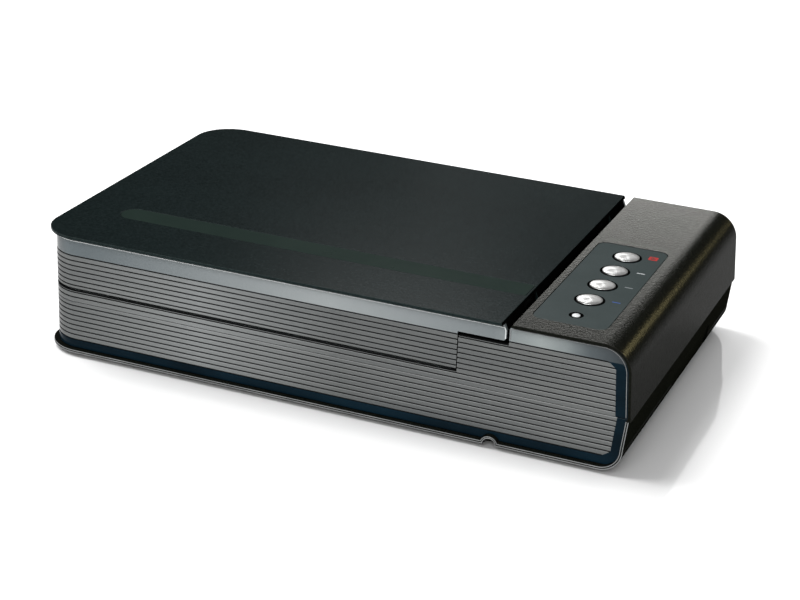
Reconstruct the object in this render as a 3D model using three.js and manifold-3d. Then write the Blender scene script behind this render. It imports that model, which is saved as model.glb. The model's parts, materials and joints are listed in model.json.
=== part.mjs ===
// Book-edge flatbed scanner: ribbed case, deep hinged lid, control end with four round buttons,
// and the belt-driven scanning carriage inside. Millimetres, +Z up. The origin is on the table,
// under the centre of the case. +X runs towards the control end, -Y is the long book edge.

import * as THREE from "three";
import { mergeVertices } from "three/addons/utils/BufferGeometryUtils.js";
import Module from "manifold-3d";

const wasm = await Module();
wasm.setup();

// ---------------------------------------------------------------- driving dimensions

const WIDTH = 453;
const DEPTH = 280;
const HEIGHT = 94.5;
const FOOT_HEIGHT = 3;

const HALF_W = WIDTH / 2;
const HALF_D = DEPTH / 2;
const CASE_BOTTOM = FOOT_HEIGHT;
const PLATE_CORNER_R = 30; // plan radius of the two left corners
const SHELL_T = 2.2;
const GAP = 0.3; // usual assembly clearance
const LAP = 0.2; // how far joined bits of one piece run into each other
const FLOOR_TOP = CASE_BOTTOM + SHELL_T; // upper face of the case's floor

// ribbed side walls
const WALL_INSET = 4; // how far the walls stand back from the plates' edges
const WALL_T = 2.4;
const WALL_INNER = HALF_D - WALL_INSET - WALL_T;
const WALL_LEFT_INNER = -HALF_W + WALL_INSET + WALL_T;
const RIB_PITCH = 3.83;
const LOWER_GROOVES = { bottom: 12.1, count: 8 }; // height of the lowest groove, and how many
const UPPER_GROOVES = { bottom: 45.8, count: 10 };
const LID_GROOVES = { bottom: 55.2, count: 7 };
const RIB_RIGHT = 213;
const GROOVE_DEPTH = 0.9;
const GROOVE_WIDTH = 1;
const WALL_RIGHT = 221.5;

// levels of the case
const SEAM_Z = 42; // parting line between the lower and the upper mouldings
const RIM_TOP = 50.6; // upper edge of the case under the deep part of the lid
const HINGE_DECK_TOP = 77.5;
const GLASS_TOP = 53.3; // the glass and its frame stand proud of the rim, inside the lid
const GLASS_T = 3;

// control end
const COVER_LEFT = 137.8;
const COVER_TOP_LEFT = 140.6;
const COVER_CHAMFER_Z = 89.4;
const TOP_CORNER_R = 20;
const TOP_CORNER_X = 204.3;
const BOTTOM_CORNER_R = 16.5;
const BOTTOM_CORNER_X = 206.3;
const LOWER_RIGHT = 225.1; // the lower moulding steps in at the parting line
const PANEL = { left: 146, right: 199, front: -120, back: 36, corner: 7, recess: 0.6, sheet: 0.5 };
const BUTTON_X = 173;
const BUTTON_PITCH = 29.4;
const FIRST_BUTTON_Y = 14;
const BUTTON_R = 8.8;
const BUTTON_HOLE_R = 9.4;
const BUTTON_PROUD = 1.3;
const LED_Y = FIRST_BUTTON_Y - 4 * BUTTON_PITCH;
const LED_R = 3.6;
const LED_HOLE_R = 4.2;
const FLANGE_TOP = -2.5; // retaining flanges under the cover, down from the top plate
const FLANGE_T = 1.4;
const FLANGE_REACH = 1.2; // past the edge of the hole
const STEM = { r: 2.5, bottom: -7 }; // button stems, down from the top plate
const BOARD_T = 1.6;
const BUTTON_BOARD_TOP = 85;
const COVER_POST = { r: 2.5, fromSides: 7, fromFront: 12, fromBack: 16 };
const GRIP = { front: -20, back: 80, bottom: 13, top: 27, depth: 1.2 }; // finger recess

// lid
const LID_BOTTOM = 52.3;
const LID_DEEP_RIGHT = 101; // end of the deep part of the lid
const DECK_STEP_X = 101.8; // where the case rises to the hinge deck
const TONGUE_BOTTOM = 80.5;
const LID_RIGHT = 135.8;
const LID_TOP_RIGHT = 133;
const LID_CHAMFER_Z = 88;
const LID_PLATE_T = 2.2;
const LID_UNDERSIDE = HEIGHT - LID_PLATE_T;
const TONGUE_CHAMFER = 1.8;
const LINER_T = 2;
const LINER_BOTTOM = GLASS_TOP + 4.9; // leaves room for the pad on the glass
const PAD = { left: -210, right: 92, front: -129, back: 90 };
const PAD_SHEET = { bottom: 53.9, top: 54.5 };
const FOAM = { bottom: 54.6, top: 58.1 };
const INLAY = { left: -190, right: LID_TOP_RIGHT - 1.5, front: -88, back: -67, recess: 0.7, sheet: 0.6 };
const INLAY_SEGMENTS = 8;

// hinges: the lid turns about HINGE, and its posts slide up in the case to clear a thick book
const HINGE = { x: 128.2, z: 87.3 };
const HINGE_Y = 85;
const KNUCKLE_R = 4.6;
const KNUCKLE_HALF = 7;
const HINGE_OPENING_HALF = 12.5;
const PIN_R = 2;
const POST = { left: 121, right: 133, half: 10, bottom: 53, top: 76.9 };
const SLIDE_GAP = 0.4; // clearance round pieces that slide
const SOCKET_WALL = 2.2;
const NECK_HALF = 3.2;
const EAR = { r: 4.4, near: 0.5, far: 3.5, length: 16 }; // measured from the knuckle's ends
const BRACKET_FOOT = { left: -24, right: -8, thickness: 2.5 };
const HINGE_SIDES = 28;

// glass
const GLASS = { left: -214, right: 96, front: -133.2, back: 88 };
const LEDGE = 3;

// scanning carriage, at its home end under the hinge deck
const CARRIAGE = { left: 93, right: 153, front: -128, back: 98, bottom: 13, top: 45, wall: 2 };
const SLIT = { left: 97, right: 107, front: -125, back: 91 };
const ROD = { y: 104, z: 20, r: 4, left: -216, right: 170 };
const SADDLE = { length: 6, half: 5.5, rise: 5 }; // hold the rod's two ends
const BUSHING_R = 6;
const RAIL = { left: -208, right: 160, front: -0.5, width: 5.5, top: 12.4 }; // under the front edge
const LAMP = { r: 1.9, x: CARRIAGE.left + 5, z: 42 };
const MIRROR = { x: 104, z: 24, width: 13, thickness: 1.4 };
const LENS = { x: 132, y: -15, z: 28.5, barrelR: 8.2, collarR: 9.6, half: 9, boreR: 4, mouthR: 5 };
const SENSOR = { face: 145.6, board: 148.6, half: 22, chipHalf: 16, bottom: 16, top: 41 };

// belt drive
const PULLEY_R = 6;
const BELT_T = 1.2;
const BELT_BOTTOM = 37;
const BELT_TOP = 43;
const GEAR_MODULE = 0.8;
const GEAR_TEETH = 36;
const PINION_TEETH = 12;
const PRESSURE_ANGLE = THREE.MathUtils.degToRad(25);
const BACKLASH = 0.16;
const GEAR_AT = { x: 182, y: 116 };
const IDLER_X = -195;
const MOTOR_DIRECTION = THREE.MathUtils.degToRad(-50);
const GEAR_DISTANCE = (GEAR_MODULE * (GEAR_TEETH + PINION_TEETH)) / 2;
const MOTOR_AT = {
  x: GEAR_AT.x + GEAR_DISTANCE * Math.cos(MOTOR_DIRECTION),
  y: GEAR_AT.y + GEAR_DISTANCE * Math.sin(MOTOR_DIRECTION),
};
const MOTOR_R = 17.5;
const MOTOR_PLATE_BOTTOM = 27.6;
const MOTOR_PLATE_T = 1.5;
const GEAR_BOTTOM = 29.6;
const GEAR_T = 5;
const MOTOR_BOTTOM = 9;
const MOTOR_PLATE = { left: 172, right: 218, front: 80, back: 129 };
const AXLE_R = 1.8;
const AXLE_TOP = BELT_TOP + 4;
const AXLE_BORE_R = 2.2;
const FLANGED = { r: 8, rim: 1.2, gap: 7 }; // pulley flanges: radius, thickness, room for the belt
const PULLEY_BOTTOM = BELT_BOTTOM - 1.8;
const TENSION_Y = GEAR_AT.y + 1; // the spring and its column stand a little behind the belt's axis
const IDLER_COLUMN = { left: -215, right: -205, half: 3.5, top: 29.7, stopT: 1.4, stopTop: 38 };
const IDLER_ARM = { left: -204, bottom: 30, top: 33.4, half: 6, footT: 2 };
const SPRING = { x: -213, z: 35.2, turns: 4, length: 7.6, r: 2.6, wire: 0.45, steps: 8 };

// underside and rear
const FOOT_R = 8;
const FEET = [
  ["foot_front_left", -190, -112],
  ["foot_rear_left", -190, 112],
  ["foot_front_right", 190, -112],
  ["foot_rear_right", 190, 112],
];
const SCREWS = [
  ["case_screw_1", -180, -70],
  ["case_screw_2", -180, 70],
  ["case_screw_3", 188, -70],
  ["case_screw_4", 188, 60],
];
const SCREW_SHANK_R = 1.8;
const SCREW_HOLE_R = 2.2;
const BOSS_R = 4.5;
const BOSS_TOP = 12;
const LOCK = { x: 129, y: -112, travel: 6, knobX: 6.5, knobY: 3.2, flangeX: 9, flangeY: 5.5 };
const NOTCH_X = 129;
const NOTCH_R = 4.6;
const NOTCH_RIM_R = 6.4;
const ARCH_DEPTH = 8;
const PORT_Z = 64;
const PORT_Y = HALF_D - WALL_INSET - 0.4; // the ports' mouths stand just behind the wall's face
const USB = { x: 194, half: 6, high: 5.5, deep: 15, skin: 1.1 };
const JACK = { x: 211, half: 5.2, noseR: 4.6, mouthR: 2.9, pinR: 1, deep: 14, nose: 3 };
const ROCKER = { x: 166, y: 131.6, tilt: THREE.MathUtils.degToRad(7), half: 9.1, high: 6.2 };
const MAIN_BOARD = { left: 143, right: 219, front: -50, back: 119, bottom: 56 };
const CABLE = { x: 163.6, front: -22, back: 0, floor: 6.5, loop: 24, bend: 2.5, end: 140, t: 0.5 };

// ---------------------------------------------------------------- materials

const material = (color, roughness, metalness = 0, extra = {}) =>
  new THREE.MeshStandardMaterial({ color, roughness, metalness, ...extra });

const texturedBlack = material(0x2b2c2b, 0.62);
const lidBlack = material(0x1a2020, 0.42);
const ribbedGrey = material(0x6d7271, 0.3);
const innerBlack = material(0x161717, 0.7);
const inlayBlack = material(0x252b27, 0.18);
const overlayGrey = material(0x3c4445, 0.35);
const brushedSilver = material(0xd9d9d6, 0.28, 0.9);
const steel = material(0xb4b6b8, 0.3, 0.9);
const brass = material(0xb08d4a, 0.35, 0.9);
const glassClear = material(0xdfe9e6, 0.05, 0, { transparent: true, opacity: 0.35 });
const mirrorGlass = material(0xf0f2f2, 0.03, 1);
const whiteSheet = material(0xf1f1ee, 0.6);
const foamWhite = material(0xd9dad6, 0.9);
const boardGreen = material(0x1f5a3a, 0.5);
const palePlastic = material(0xe6e3d8, 0.45);
const rubberBlack = material(0x101010, 0.9);
const lampWhite = material(0xfafaf2, 0.3);
const cableGrey = material(0xc9ccd0, 0.5);

// ---------------------------------------------------------------- solids from three.js geometry

// A closed three.js geometry as a solid that can be cut and joined.
function solid(geometry) {
  const bare = geometry.index ? geometry.toNonIndexed() : geometry.clone();
  bare.deleteAttribute("normal");
  bare.deleteAttribute("uv");
  const merged = mergeVertices(bare, 1e-4);
  return new wasm.Manifold(
    new wasm.Mesh({
      numProp: 3,
      vertProperties: merged.attributes.position.array,
      triVerts: new Uint32Array(merged.index.array),
    }),
  );
}

// A solid's triangles as a three.js geometry.
function geometryOf(made) {
  const { vertProperties, triVerts } = made.getMesh();
  const geometry = new THREE.BufferGeometry();
  geometry.setAttribute("position", new THREE.BufferAttribute(new Float32Array(vertProperties), 3));
  geometry.setIndex(new THREE.BufferAttribute(new Uint32Array(triVerts), 1));
  geometry.computeVertexNormals();
  return geometry;
}

const join = (first, ...rest) => rest.reduce((all, next) => all.add(next), first);
const cut = (body, ...tools) => tools.reduce((left, tool) => left.subtract(tool), body);

function box(x0, x1, y0, y1, z0, z1) {
  const geometry = new THREE.BoxGeometry(x1 - x0, y1 - y0, z1 - z0);
  return solid(geometry.translate((x0 + x1) / 2, (y0 + y1) / 2, (z0 + z1) / 2));
}

// A cylinder along "x", "y" or "z", from one end to the other, with its axis through (a, b).
function rod(axis, a, b, radius, from, to, sides = 16) {
  const geometry = new THREE.CylinderGeometry(radius, radius, to - from, sides);
  const middle = (from + to) / 2;
  if (axis === "x") geometry.rotateZ(-Math.PI / 2).translate(middle, a, b);
  if (axis === "y") geometry.translate(a, middle, b);
  if (axis === "z") geometry.rotateX(Math.PI / 2).translate(a, b, middle);
  return solid(geometry);
}

// A plan outline raised from z0 to z1.
function raise(shape, z0, z1, curveSegments = 3) {
  const options = { depth: z1 - z0, bevelEnabled: false, curveSegments };
  return solid(new THREE.ExtrudeGeometry(shape, options).translate(0, 0, z0));
}

// A side-view outline, drawn in X and Z, carried through the depth from y0 to y1.
function carry(shape, y0, y1, curveSegments = 6) {
  const options = { depth: y1 - y0, bevelEnabled: false, curveSegments };
  const geometry = new THREE.ExtrudeGeometry(shape, options);
  return solid(geometry.rotateX(Math.PI / 2).translate(0, y1, 0));
}

// A round piece from its half profile of (radius, height) points.
function turn(profile, sides = 16) {
  const points = profile.map(([r, z]) => new THREE.Vector2(r, z));
  return solid(new THREE.LatheGeometry(points, sides).rotateX(Math.PI / 2));
}

// ---------------------------------------------------------------- outlines

// Plan of the top and bottom plates: square at the control end, round corners at the left.
function plateOutline(inset, right) {
  const r = PLATE_CORNER_R - inset;
  const left = -HALF_W + inset;
  const back = HALF_D - inset;
  const shape = new THREE.Shape();
  shape.moveTo(right, -back);
  shape.lineTo(right, back);
  shape.lineTo(left + r, back);
  shape.absarc(left + r, back - r, r, Math.PI / 2, Math.PI, false);
  shape.absarc(left + r, -back + r, r, Math.PI, Math.PI * 1.5, false);
  shape.closePath();
  return shape;
}

// A wall that follows the plates' plan round the front, the left end and the rear.
function wall(inset, thickness, right, z0, z1) {
  const outer = raise(plateOutline(inset, right), z0, z1);
  return cut(outer, raise(plateOutline(inset + thickness, right + 1), z0 - 1, z1 + 1));
}

// A wall's grooves, one at each rib boundary, counted up from the lowest.
function grooves(right, { bottom, count }) {
  const outside = 1;
  const levels = Array.from({ length: count }, (_, i) => bottom + i * RIB_PITCH);
  return levels.map((z) =>
    wall(
      WALL_INSET - outside,
      outside + GROOVE_DEPTH,
      right,
      z - GROOVE_WIDTH / 2,
      z + GROOVE_WIDTH / 2,
    ),
  );
}

// Outline of a sheet: a path, and the same path moved to its right by the sheet's thickness.
function sheet(path, thickness) {
  const points = path.getPoints(4);
  const moved = points.map((p, i) => {
    const before = points[Math.max(i - 1, 0)];
    const after = points[Math.min(i + 1, points.length - 1)];
    const entry = (i === 0 ? after.clone().sub(p) : p.clone().sub(before)).normalize();
    const exit = (i === points.length - 1 ? entry.clone() : after.clone().sub(p)).normalize();
    const rightOf = (d) => new THREE.Vector2(d.y, -d.x);
    const middle = rightOf(entry).add(rightOf(exit)).normalize();
    return p.clone().addScaledVector(middle, thickness / middle.dot(rightOf(entry)));
  });
  return new THREE.Shape([...points, ...moved.reverse()]);
}

function line(...points) {
  const path = new THREE.Path();
  path.moveTo(...points[0]);
  points.slice(1).forEach((p) => path.lineTo(...p));
  return path;
}

// Side view of the control end, from the slit beside the lid, over the top and down to the seam.
function coverPath() {
  const path = line(
    [COVER_LEFT, HINGE_DECK_TOP + GAP],
    [COVER_LEFT, COVER_CHAMFER_Z],
    [COVER_TOP_LEFT, HEIGHT],
    [TOP_CORNER_X, HEIGHT],
  );
  path.absarc(TOP_CORNER_X, HEIGHT - TOP_CORNER_R, TOP_CORNER_R, Math.PI / 2, 0, true);
  path.lineTo(HALF_W, SEAM_Z + GAP / 2);
  return path;
}

// Side view of the lower case, from the seam, round the bottom corner and along the bottom plate.
function lowerPath() {
  const path = line([LOWER_RIGHT, SEAM_Z - GAP / 2]);
  const centreZ = CASE_BOTTOM + BOTTOM_CORNER_R;
  path.lineTo(BOTTOM_CORNER_X + BOTTOM_CORNER_R, centreZ);
  path.absarc(BOTTOM_CORNER_X, centreZ, BOTTOM_CORNER_R, 0, -Math.PI / 2, true);
  path.lineTo(-HALF_W, CASE_BOTTOM);
  return path;
}

// Everything inside the control end's skin, as a tool that trims the walls to its shape.
function insideControlEnd() {
  const shrink = SHELL_T + GAP;
  const shape = new THREE.Shape();
  shape.moveTo(-HALF_W - 1, CASE_BOTTOM + shrink);
  shape.lineTo(BOTTOM_CORNER_X, CASE_BOTTOM + shrink);
  shape.absarc(
    BOTTOM_CORNER_X,
    CASE_BOTTOM + BOTTOM_CORNER_R,
    BOTTOM_CORNER_R - shrink,
    -Math.PI / 2,
    0,
    false,
  );
  shape.lineTo(LOWER_RIGHT - shrink, SEAM_Z);
  shape.absarc(TOP_CORNER_X, HEIGHT - TOP_CORNER_R, TOP_CORNER_R - shrink, 0, Math.PI / 2, false);
  shape.lineTo(-HALF_W - 1, HEIGHT - shrink);
  shape.closePath();
  return carry(shape, -HALF_D - 1, HALF_D + 1);
}

// ---------------------------------------------------------------- case

function lowerCase() {
  const tray = carry(sheet(lowerPath(), SHELL_T), -HALF_D, HALF_D);
  const plan = raise(plateOutline(0, HALF_W + 1), CASE_BOTTOM - 1, SEAM_Z + 1);
  const root = FLOOR_TOP - LAP;
  const bosses = SCREWS.map(([, x, y]) => rod("z", x, y, BOSS_R, root, BOSS_TOP));
  const body = join(tray.intersect(plan), notchArch(), idlerColumn(root), ...bosses, ...rodSaddles(root));
  const tunnelBack = -HALF_D + ARCH_DEPTH - 2;
  const tunnel = rod("y", NOTCH_X, CASE_BOTTOM, NOTCH_R, -HALF_D - 1, tunnelBack, 20);
  const screwHoles = SCREWS.map(([, x, y]) =>
    rod("z", x, y, SCREW_HOLE_R, CASE_BOTTOM - 1, BOSS_TOP + 1),
  );
  return cut(body, tunnel, lockSlot(), gripRecess(), ...screwHoles);
}

// Raised rim round the notch in the front edge.
function notchArch() {
  const back = -HALF_D + ARCH_DEPTH;
  const [left, right] = [NOTCH_X - NOTCH_RIM_R, NOTCH_X + NOTCH_RIM_R];
  const upperHalf = box(left, right, -HALF_D, back, CASE_BOTTOM, CASE_BOTTOM + NOTCH_RIM_R);
  return rod("y", NOTCH_X, CASE_BOTTOM, NOTCH_RIM_R, -HALF_D, back, 20).intersect(upperHalf);
}

function rodSaddles(root) {
  const { length, half, rise } = SADDLE;
  return [ROD.left - 1, ROD.right - length].map((x) =>
    cut(
      box(x, x + length, ROD.y - half, ROD.y + half, root, ROD.z + rise),
      rod("x", ROD.y, ROD.z, ROD.r + GAP, x - 1, x + length + 1),
    ),
  );
}

// Column the idler's bracket rests on, with a stop for the tension spring.
function idlerColumn(root) {
  const { left, right, half, top, stopT, stopTop } = IDLER_COLUMN;
  const [front, back] = [TENSION_Y - half, TENSION_Y + half];
  return join(
    box(left, right, front, back, root, top),
    box(left, left + stopT, front, back, top - 1, stopTop),
  );
}

function lockSlot() {
  const side = LOCK.knobY + SLIDE_GAP;
  const end = LOCK.knobX + 0.5;
  const [left, right] = [LOCK.x - end, LOCK.x + end + LOCK.travel];
  return box(left, right, LOCK.y - side, LOCK.y + side, CASE_BOTTOM - 1, FLOOR_TOP + 1);
}

// Shallow finger recess low on the wall of the control end, open towards the curve below it.
function gripRecess() {
  const { front, back, bottom, top, depth } = GRIP;
  const wallAt = (z) => {
    const low = BOTTOM_CORNER_X + BOTTOM_CORNER_R;
    const cornerTop = CASE_BOTTOM + BOTTOM_CORNER_R;
    if (z > cornerTop) return low + ((LOWER_RIGHT - low) * (z - cornerTop)) / (SEAM_Z - cornerTop);
    return BOTTOM_CORNER_X + Math.sqrt(BOTTOM_CORNER_R ** 2 - (cornerTop - z) ** 2);
  };
  const reach = 6; // how far the tool stands out of the wall
  const shape = new THREE.Shape();
  shape.moveTo(wallAt(bottom) - depth, bottom);
  shape.lineTo(wallAt(bottom) + reach, bottom - reach / 2);
  shape.lineTo(wallAt(top) + reach, top);
  shape.lineTo(wallAt(top) - depth, top);
  shape.closePath();
  return carry(shape, front, back);
}

function lowerWall() {
  const ring = wall(WALL_INSET, WALL_T, WALL_RIGHT, FLOOR_TOP + GAP, SEAM_Z - GAP / 2);
  const behindWall = -WALL_INNER + 5;
  const archRelief = rod("y", NOTCH_X, CASE_BOTTOM, NOTCH_RIM_R + 0.4, -HALF_D, behindWall, 20);
  return cut(ring.intersect(insideControlEnd()), archRelief, ...grooves(RIB_RIGHT, LOWER_GROOVES));
}

function upperWall() {
  const ring = wall(WALL_INSET, WALL_T, WALL_RIGHT, SEAM_Z + GAP / 2, HEIGHT);
  const far = HALF_W + 1;
  const deep = HALF_D + 1;
  const overGlass = box(-far, DECK_STEP_X, -deep, deep, RIM_TOP, HEIGHT + 1);
  const overDeck = box(-far, COVER_LEFT, -deep, deep, HINGE_DECK_TOP - 0.1, HEIGHT + 1);
  const corner = line(
    [COVER_LEFT - 1, COVER_CHAMFER_Z],
    [COVER_LEFT, COVER_CHAMFER_Z],
    [COVER_TOP_LEFT, HEIGHT],
    [COVER_LEFT - 1, HEIGHT],
  );
  const chamfer = carry(new THREE.Shape(corner.getPoints(1)), -deep, deep);
  const tools = [overGlass, overDeck, chamfer, ...portOpenings()];
  const trimmed = cut(ring.intersect(insideControlEnd()), ...tools);
  return cut(trimmed, ...grooves(RIB_RIGHT, UPPER_GROOVES));
}

function portOpenings() {
  const opening = (x, halfX, halfZ) =>
    box(x - halfX, x + halfX, WALL_INNER - 1, HALF_D + 1, PORT_Z - halfZ, PORT_Z + halfZ);
  return [
    opening(USB.x, USB.half + 0.6, USB.high + 0.5),
    rod("y", JACK.x, PORT_Z, JACK.noseR + 0.4, WALL_INNER - 1, HALF_D + 1, 20),
    opening(ROCKER.x, ROCKER.half + 0.8, ROCKER.high + 0.5),
  ];
}

// The black frame round the glass, with the raised deck that the lid's hinges stand in.
function platenDeck() {
  const depth = WALL_INNER - GAP;
  const left = WALL_LEFT_INNER + GAP;
  const top = GLASS_TOP + 0.1;
  const ledgeT = 1.6;
  const pocketBottom = GLASS_TOP - GLASS_T - 0.1;
  const ledgeBottom = pocketBottom - ledgeT;
  const surface = line(
    [left, top],
    [DECK_STEP_X + GAP, top],
    [DECK_STEP_X + GAP, HINGE_DECK_TOP],
    [COVER_LEFT - GAP - 0.1, HINGE_DECK_TOP],
  );
  const skin = carry(sheet(surface, SHELL_T), -depth, depth);
  const frame = box(left, DECK_STEP_X, -depth, depth, ledgeBottom, top);
  const cornerTrim = raise(plateOutline(WALL_INSET + WALL_T + GAP, HALF_W), SEAM_Z, HEIGHT);
  const [pocketLeft, pocketRight] = [GLASS.left - GAP, GLASS.right + GAP];
  const pocket = box(pocketLeft, pocketRight, -depth - 1, GLASS.back + GAP, pocketBottom, top + 1);
  const window = box(
    GLASS.left + LEDGE,
    GLASS.right - LEDGE,
    GLASS.front + LEDGE,
    GLASS.back - LEDGE,
    ledgeBottom - 1,
    top + 1,
  );
  const belowDeck = HINGE_DECK_TOP - SHELL_T - 5;
  const postHoles = [-HINGE_Y, HINGE_Y].map((y) => postSpace(y, belowDeck, HINGE_DECK_TOP + 1));
  return cut(join(skin, frame).intersect(cornerTrim), pocket, window, ...postHoles);
}

function platenGlass() {
  const bottom = GLASS_TOP - GLASS_T;
  const pane = box(GLASS.left, GLASS.right, GLASS.front, GLASS.back, bottom, GLASS_TOP);
  const plan = plateOutline(WALL_INSET + WALL_T + 2 * GAP, HALF_W);
  return pane.intersect(raise(plan, bottom - 1, GLASS_TOP + 1));
}

// ---------------------------------------------------------------- control end

const buttonYs = [0, 1, 2, 3].map((i) => FIRST_BUTTON_Y - i * BUTTON_PITCH);

function panelOutline(inset) {
  const r = PANEL.corner - inset;
  const [x0, x1] = [PANEL.left + inset, PANEL.right - inset];
  const [y0, y1] = [PANEL.front + inset, PANEL.back - inset];
  const shape = new THREE.Shape();
  shape.moveTo(x0 + r, y0);
  shape.absarc(x1 - r, y0 + r, r, -Math.PI / 2, 0, false);
  shape.absarc(x1 - r, y1 - r, r, 0, Math.PI / 2, false);
  shape.absarc(x0 + r, y1 - r, r, Math.PI / 2, Math.PI, false);
  shape.absarc(x0 + r, y0 + r, r, Math.PI, Math.PI * 1.5, false);
  return shape;
}

function panelHoles() {
  const [z0, z1] = [HEIGHT - 2 * SHELL_T, HEIGHT + 1];
  const buttonHoles = buttonYs.map((y) => rod("z", BUTTON_X, y, BUTTON_HOLE_R, z0, z1, 20));
  return [...buttonHoles, rod("z", BUTTON_X, LED_Y, LED_HOLE_R, z0, z1, 20)];
}

function controlCover() {
  const skin = carry(sheet(coverPath(), SHELL_T), -HALF_D, HALF_D);
  const recess = raise(panelOutline(0), HEIGHT - PANEL.recess, HEIGHT + 1);
  const { r, fromSides, fromFront, fromBack } = COVER_POST;
  const posts = [PANEL.left + fromSides, PANEL.right - fromSides].flatMap((x) =>
    [PANEL.front + fromFront, PANEL.back - fromBack].map((y) =>
      rod("z", x, y, r, BUTTON_BOARD_TOP + 0.1, HEIGHT - SHELL_T + LAP, 12),
    ),
  );
  const roomRight = COVER_TOP_LEFT + 3.4;
  const wallRooms = endRooms(COVER_LEFT - 1, roomRight, HINGE_DECK_TOP - 5, HEIGHT - SHELL_T);
  return cut(join(skin, ...posts), recess, ...wallRooms, ...panelHoles());
}

function panelOverlay() {
  const face = HEIGHT - PANEL.recess + PANEL.sheet;
  return cut(raise(panelOutline(GAP), HEIGHT - PANEL.recess, face), ...panelHoles());
}

// Button cap with a shallow dome, a retaining flange under the cover, and its stem.
function buttonCap() {
  const domeRise = 0.8;
  const shoulder = BUTTON_PROUD - domeRise;
  const flangeR = BUTTON_HOLE_R + FLANGE_REACH;
  const crown = [1, 2, 3].map((step) => {
    const angle = (step * Math.PI) / 8;
    return [BUTTON_R * Math.cos(angle), shoulder + domeRise * Math.sin(angle)];
  });
  return turn(
    [
      [0, STEM.bottom],
      [STEM.r, STEM.bottom],
      [STEM.r, FLANGE_TOP - FLANGE_T],
      [flangeR, FLANGE_TOP - FLANGE_T],
      [flangeR, FLANGE_TOP],
      [BUTTON_R, FLANGE_TOP],
      [BUTTON_R, shoulder],
      ...crown,
      [0, BUTTON_PROUD],
    ],
    20,
  );
}

function ledLens() {
  const guideR = 2;
  const flangeR = LED_HOLE_R + 1;
  const domeTop = 0.8;
  return turn(
    [
      [0, STEM.bottom],
      [guideR, STEM.bottom],
      [guideR, FLANGE_TOP - 1],
      [flangeR, FLANGE_TOP - 1],
      [flangeR, FLANGE_TOP - 0.1],
      [LED_R, FLANGE_TOP - 0.1],
      [LED_R, -0.3],
      [LED_R * 0.7, domeTop - 0.3],
      [0, domeTop],
    ],
    20,
  );
}

function buttonBoard() {
  const top = BUTTON_BOARD_TOP;
  const margin = 3;
  const [front, back] = [PANEL.front + margin + 1, PANEL.back - 2 * margin];
  const board = box(PANEL.left + margin, PANEL.right - margin, front, back, top - BOARD_T, top);
  const bodyHalf = 3;
  const switches = buttonYs.map((y) => join(
    box(BUTTON_X - bodyHalf, BUTTON_X + bodyHalf, y - bodyHalf, y + bodyHalf, top - LAP, top + 1.2),
    rod("z", BUTTON_X, y, 1.7, top + 1.1, top + 1.6, 12),
  ));
  const led = rod("z", BUTTON_X, LED_Y, 1.5, top - LAP, top + 2.4, 12);
  return join(board, led, ...switches);
}

function mainBoard() {
  const { left, right, front, back, bottom } = MAIN_BOARD;
  const top = bottom + BOARD_T;
  const board = box(left, right, front, back, bottom, top);
  const part = (x, y, halfX, halfY, height) =>
    box(x - halfX, x + halfX, y - halfY, y + halfY, top - LAP, top + height);
  const processor = part(180, 22, 12, 12, 2);
  const memory = part(156, -10, 6, 10, 1.6);
  const converter = part(206, -28, 6, 10, 6);
  const cableSocket = part(183, -43.5, 13, 2.5, 4.5);
  const capacitors = [60, 74].map((y) => rod("z", 206, y, 4.5, top - LAP, top + 12));
  return join(board, processor, memory, converter, cableSocket, ...capacitors);
}

function usbPort() {
  const { half, high, deep, skin } = USB;
  const shell = box(-half, half, -deep, 0, -high, high);
  const mouthDepth = 9;
  const mouth = box(-half + skin, half - skin, -mouthDepth, 1, -high + skin, high - skin);
  const tongue = box(-half / 2, half / 2, -mouthDepth - LAP, -1.5, -high / 3, high / 3);
  return join(cut(shell, mouth), tongue);
}

function powerJack() {
  const { half, noseR, mouthR, pinR, deep, nose } = JACK;
  const body = box(-half, half, -deep, -nose, -half, half);
  const barrel = rod("y", 0, 0, noseR, -nose - LAP, 0, 20);
  const mouthDepth = 10;
  const mouth = rod("y", 0, 0, mouthR, -mouthDepth, 1, 20);
  const centrePin = rod("y", 0, 0, pinR, -mouthDepth - LAP, -1, 12);
  return join(cut(join(body, barrel), mouth), centrePin);
}

// The rocker's two faces meet in a shallow V over its pivot.
function powerRocker() {
  const { half, high } = ROCKER;
  const [back, valley, crest] = [-4, 3.4, 4.6];
  const shape = new THREE.Shape();
  shape.moveTo(-half, back);
  shape.lineTo(half, back);
  shape.lineTo(half, crest);
  shape.lineTo(0, valley);
  shape.lineTo(-half, crest);
  shape.closePath();
  return raise(shape, -high, high);
}

// ---------------------------------------------------------------- lid

function lidCover() {
  const path = line(
    [-HALF_W, HEIGHT],
    [LID_TOP_RIGHT, HEIGHT],
    [LID_RIGHT, LID_CHAMFER_Z],
    [LID_RIGHT, TONGUE_BOTTOM + TONGUE_CHAMFER],
    [LID_RIGHT - TONGUE_CHAMFER, TONGUE_BOTTOM],
  );
  const skin = carry(sheet(path, LID_PLATE_T), -HALF_D, HALF_D);
  const plan = raise(plateOutline(0, HALF_W), LID_BOTTOM, HEIGHT + 1, 10);
  const notches = [-HINGE_Y, HINGE_Y].map((y) =>
    box(
      LID_RIGHT - 6,
      LID_RIGHT + 1,
      y - HINGE_OPENING_HALF,
      y + HINGE_OPENING_HALF,
      TONGUE_BOTTOM - 1,
      LID_UNDERSIDE,
    ),
  );
  const recess = raise(inlayOutline(0), HEIGHT - INLAY.recess, HEIGHT + 1, INLAY_SEGMENTS);
  const wallRooms = endRooms(LID_RIGHT - 3 * LID_PLATE_T, LID_RIGHT + 1, TONGUE_BOTTOM - 1, LID_UNDERSIDE);
  return cut(skin.intersect(plan), recess, ...notches, ...wallRooms);
}

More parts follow.
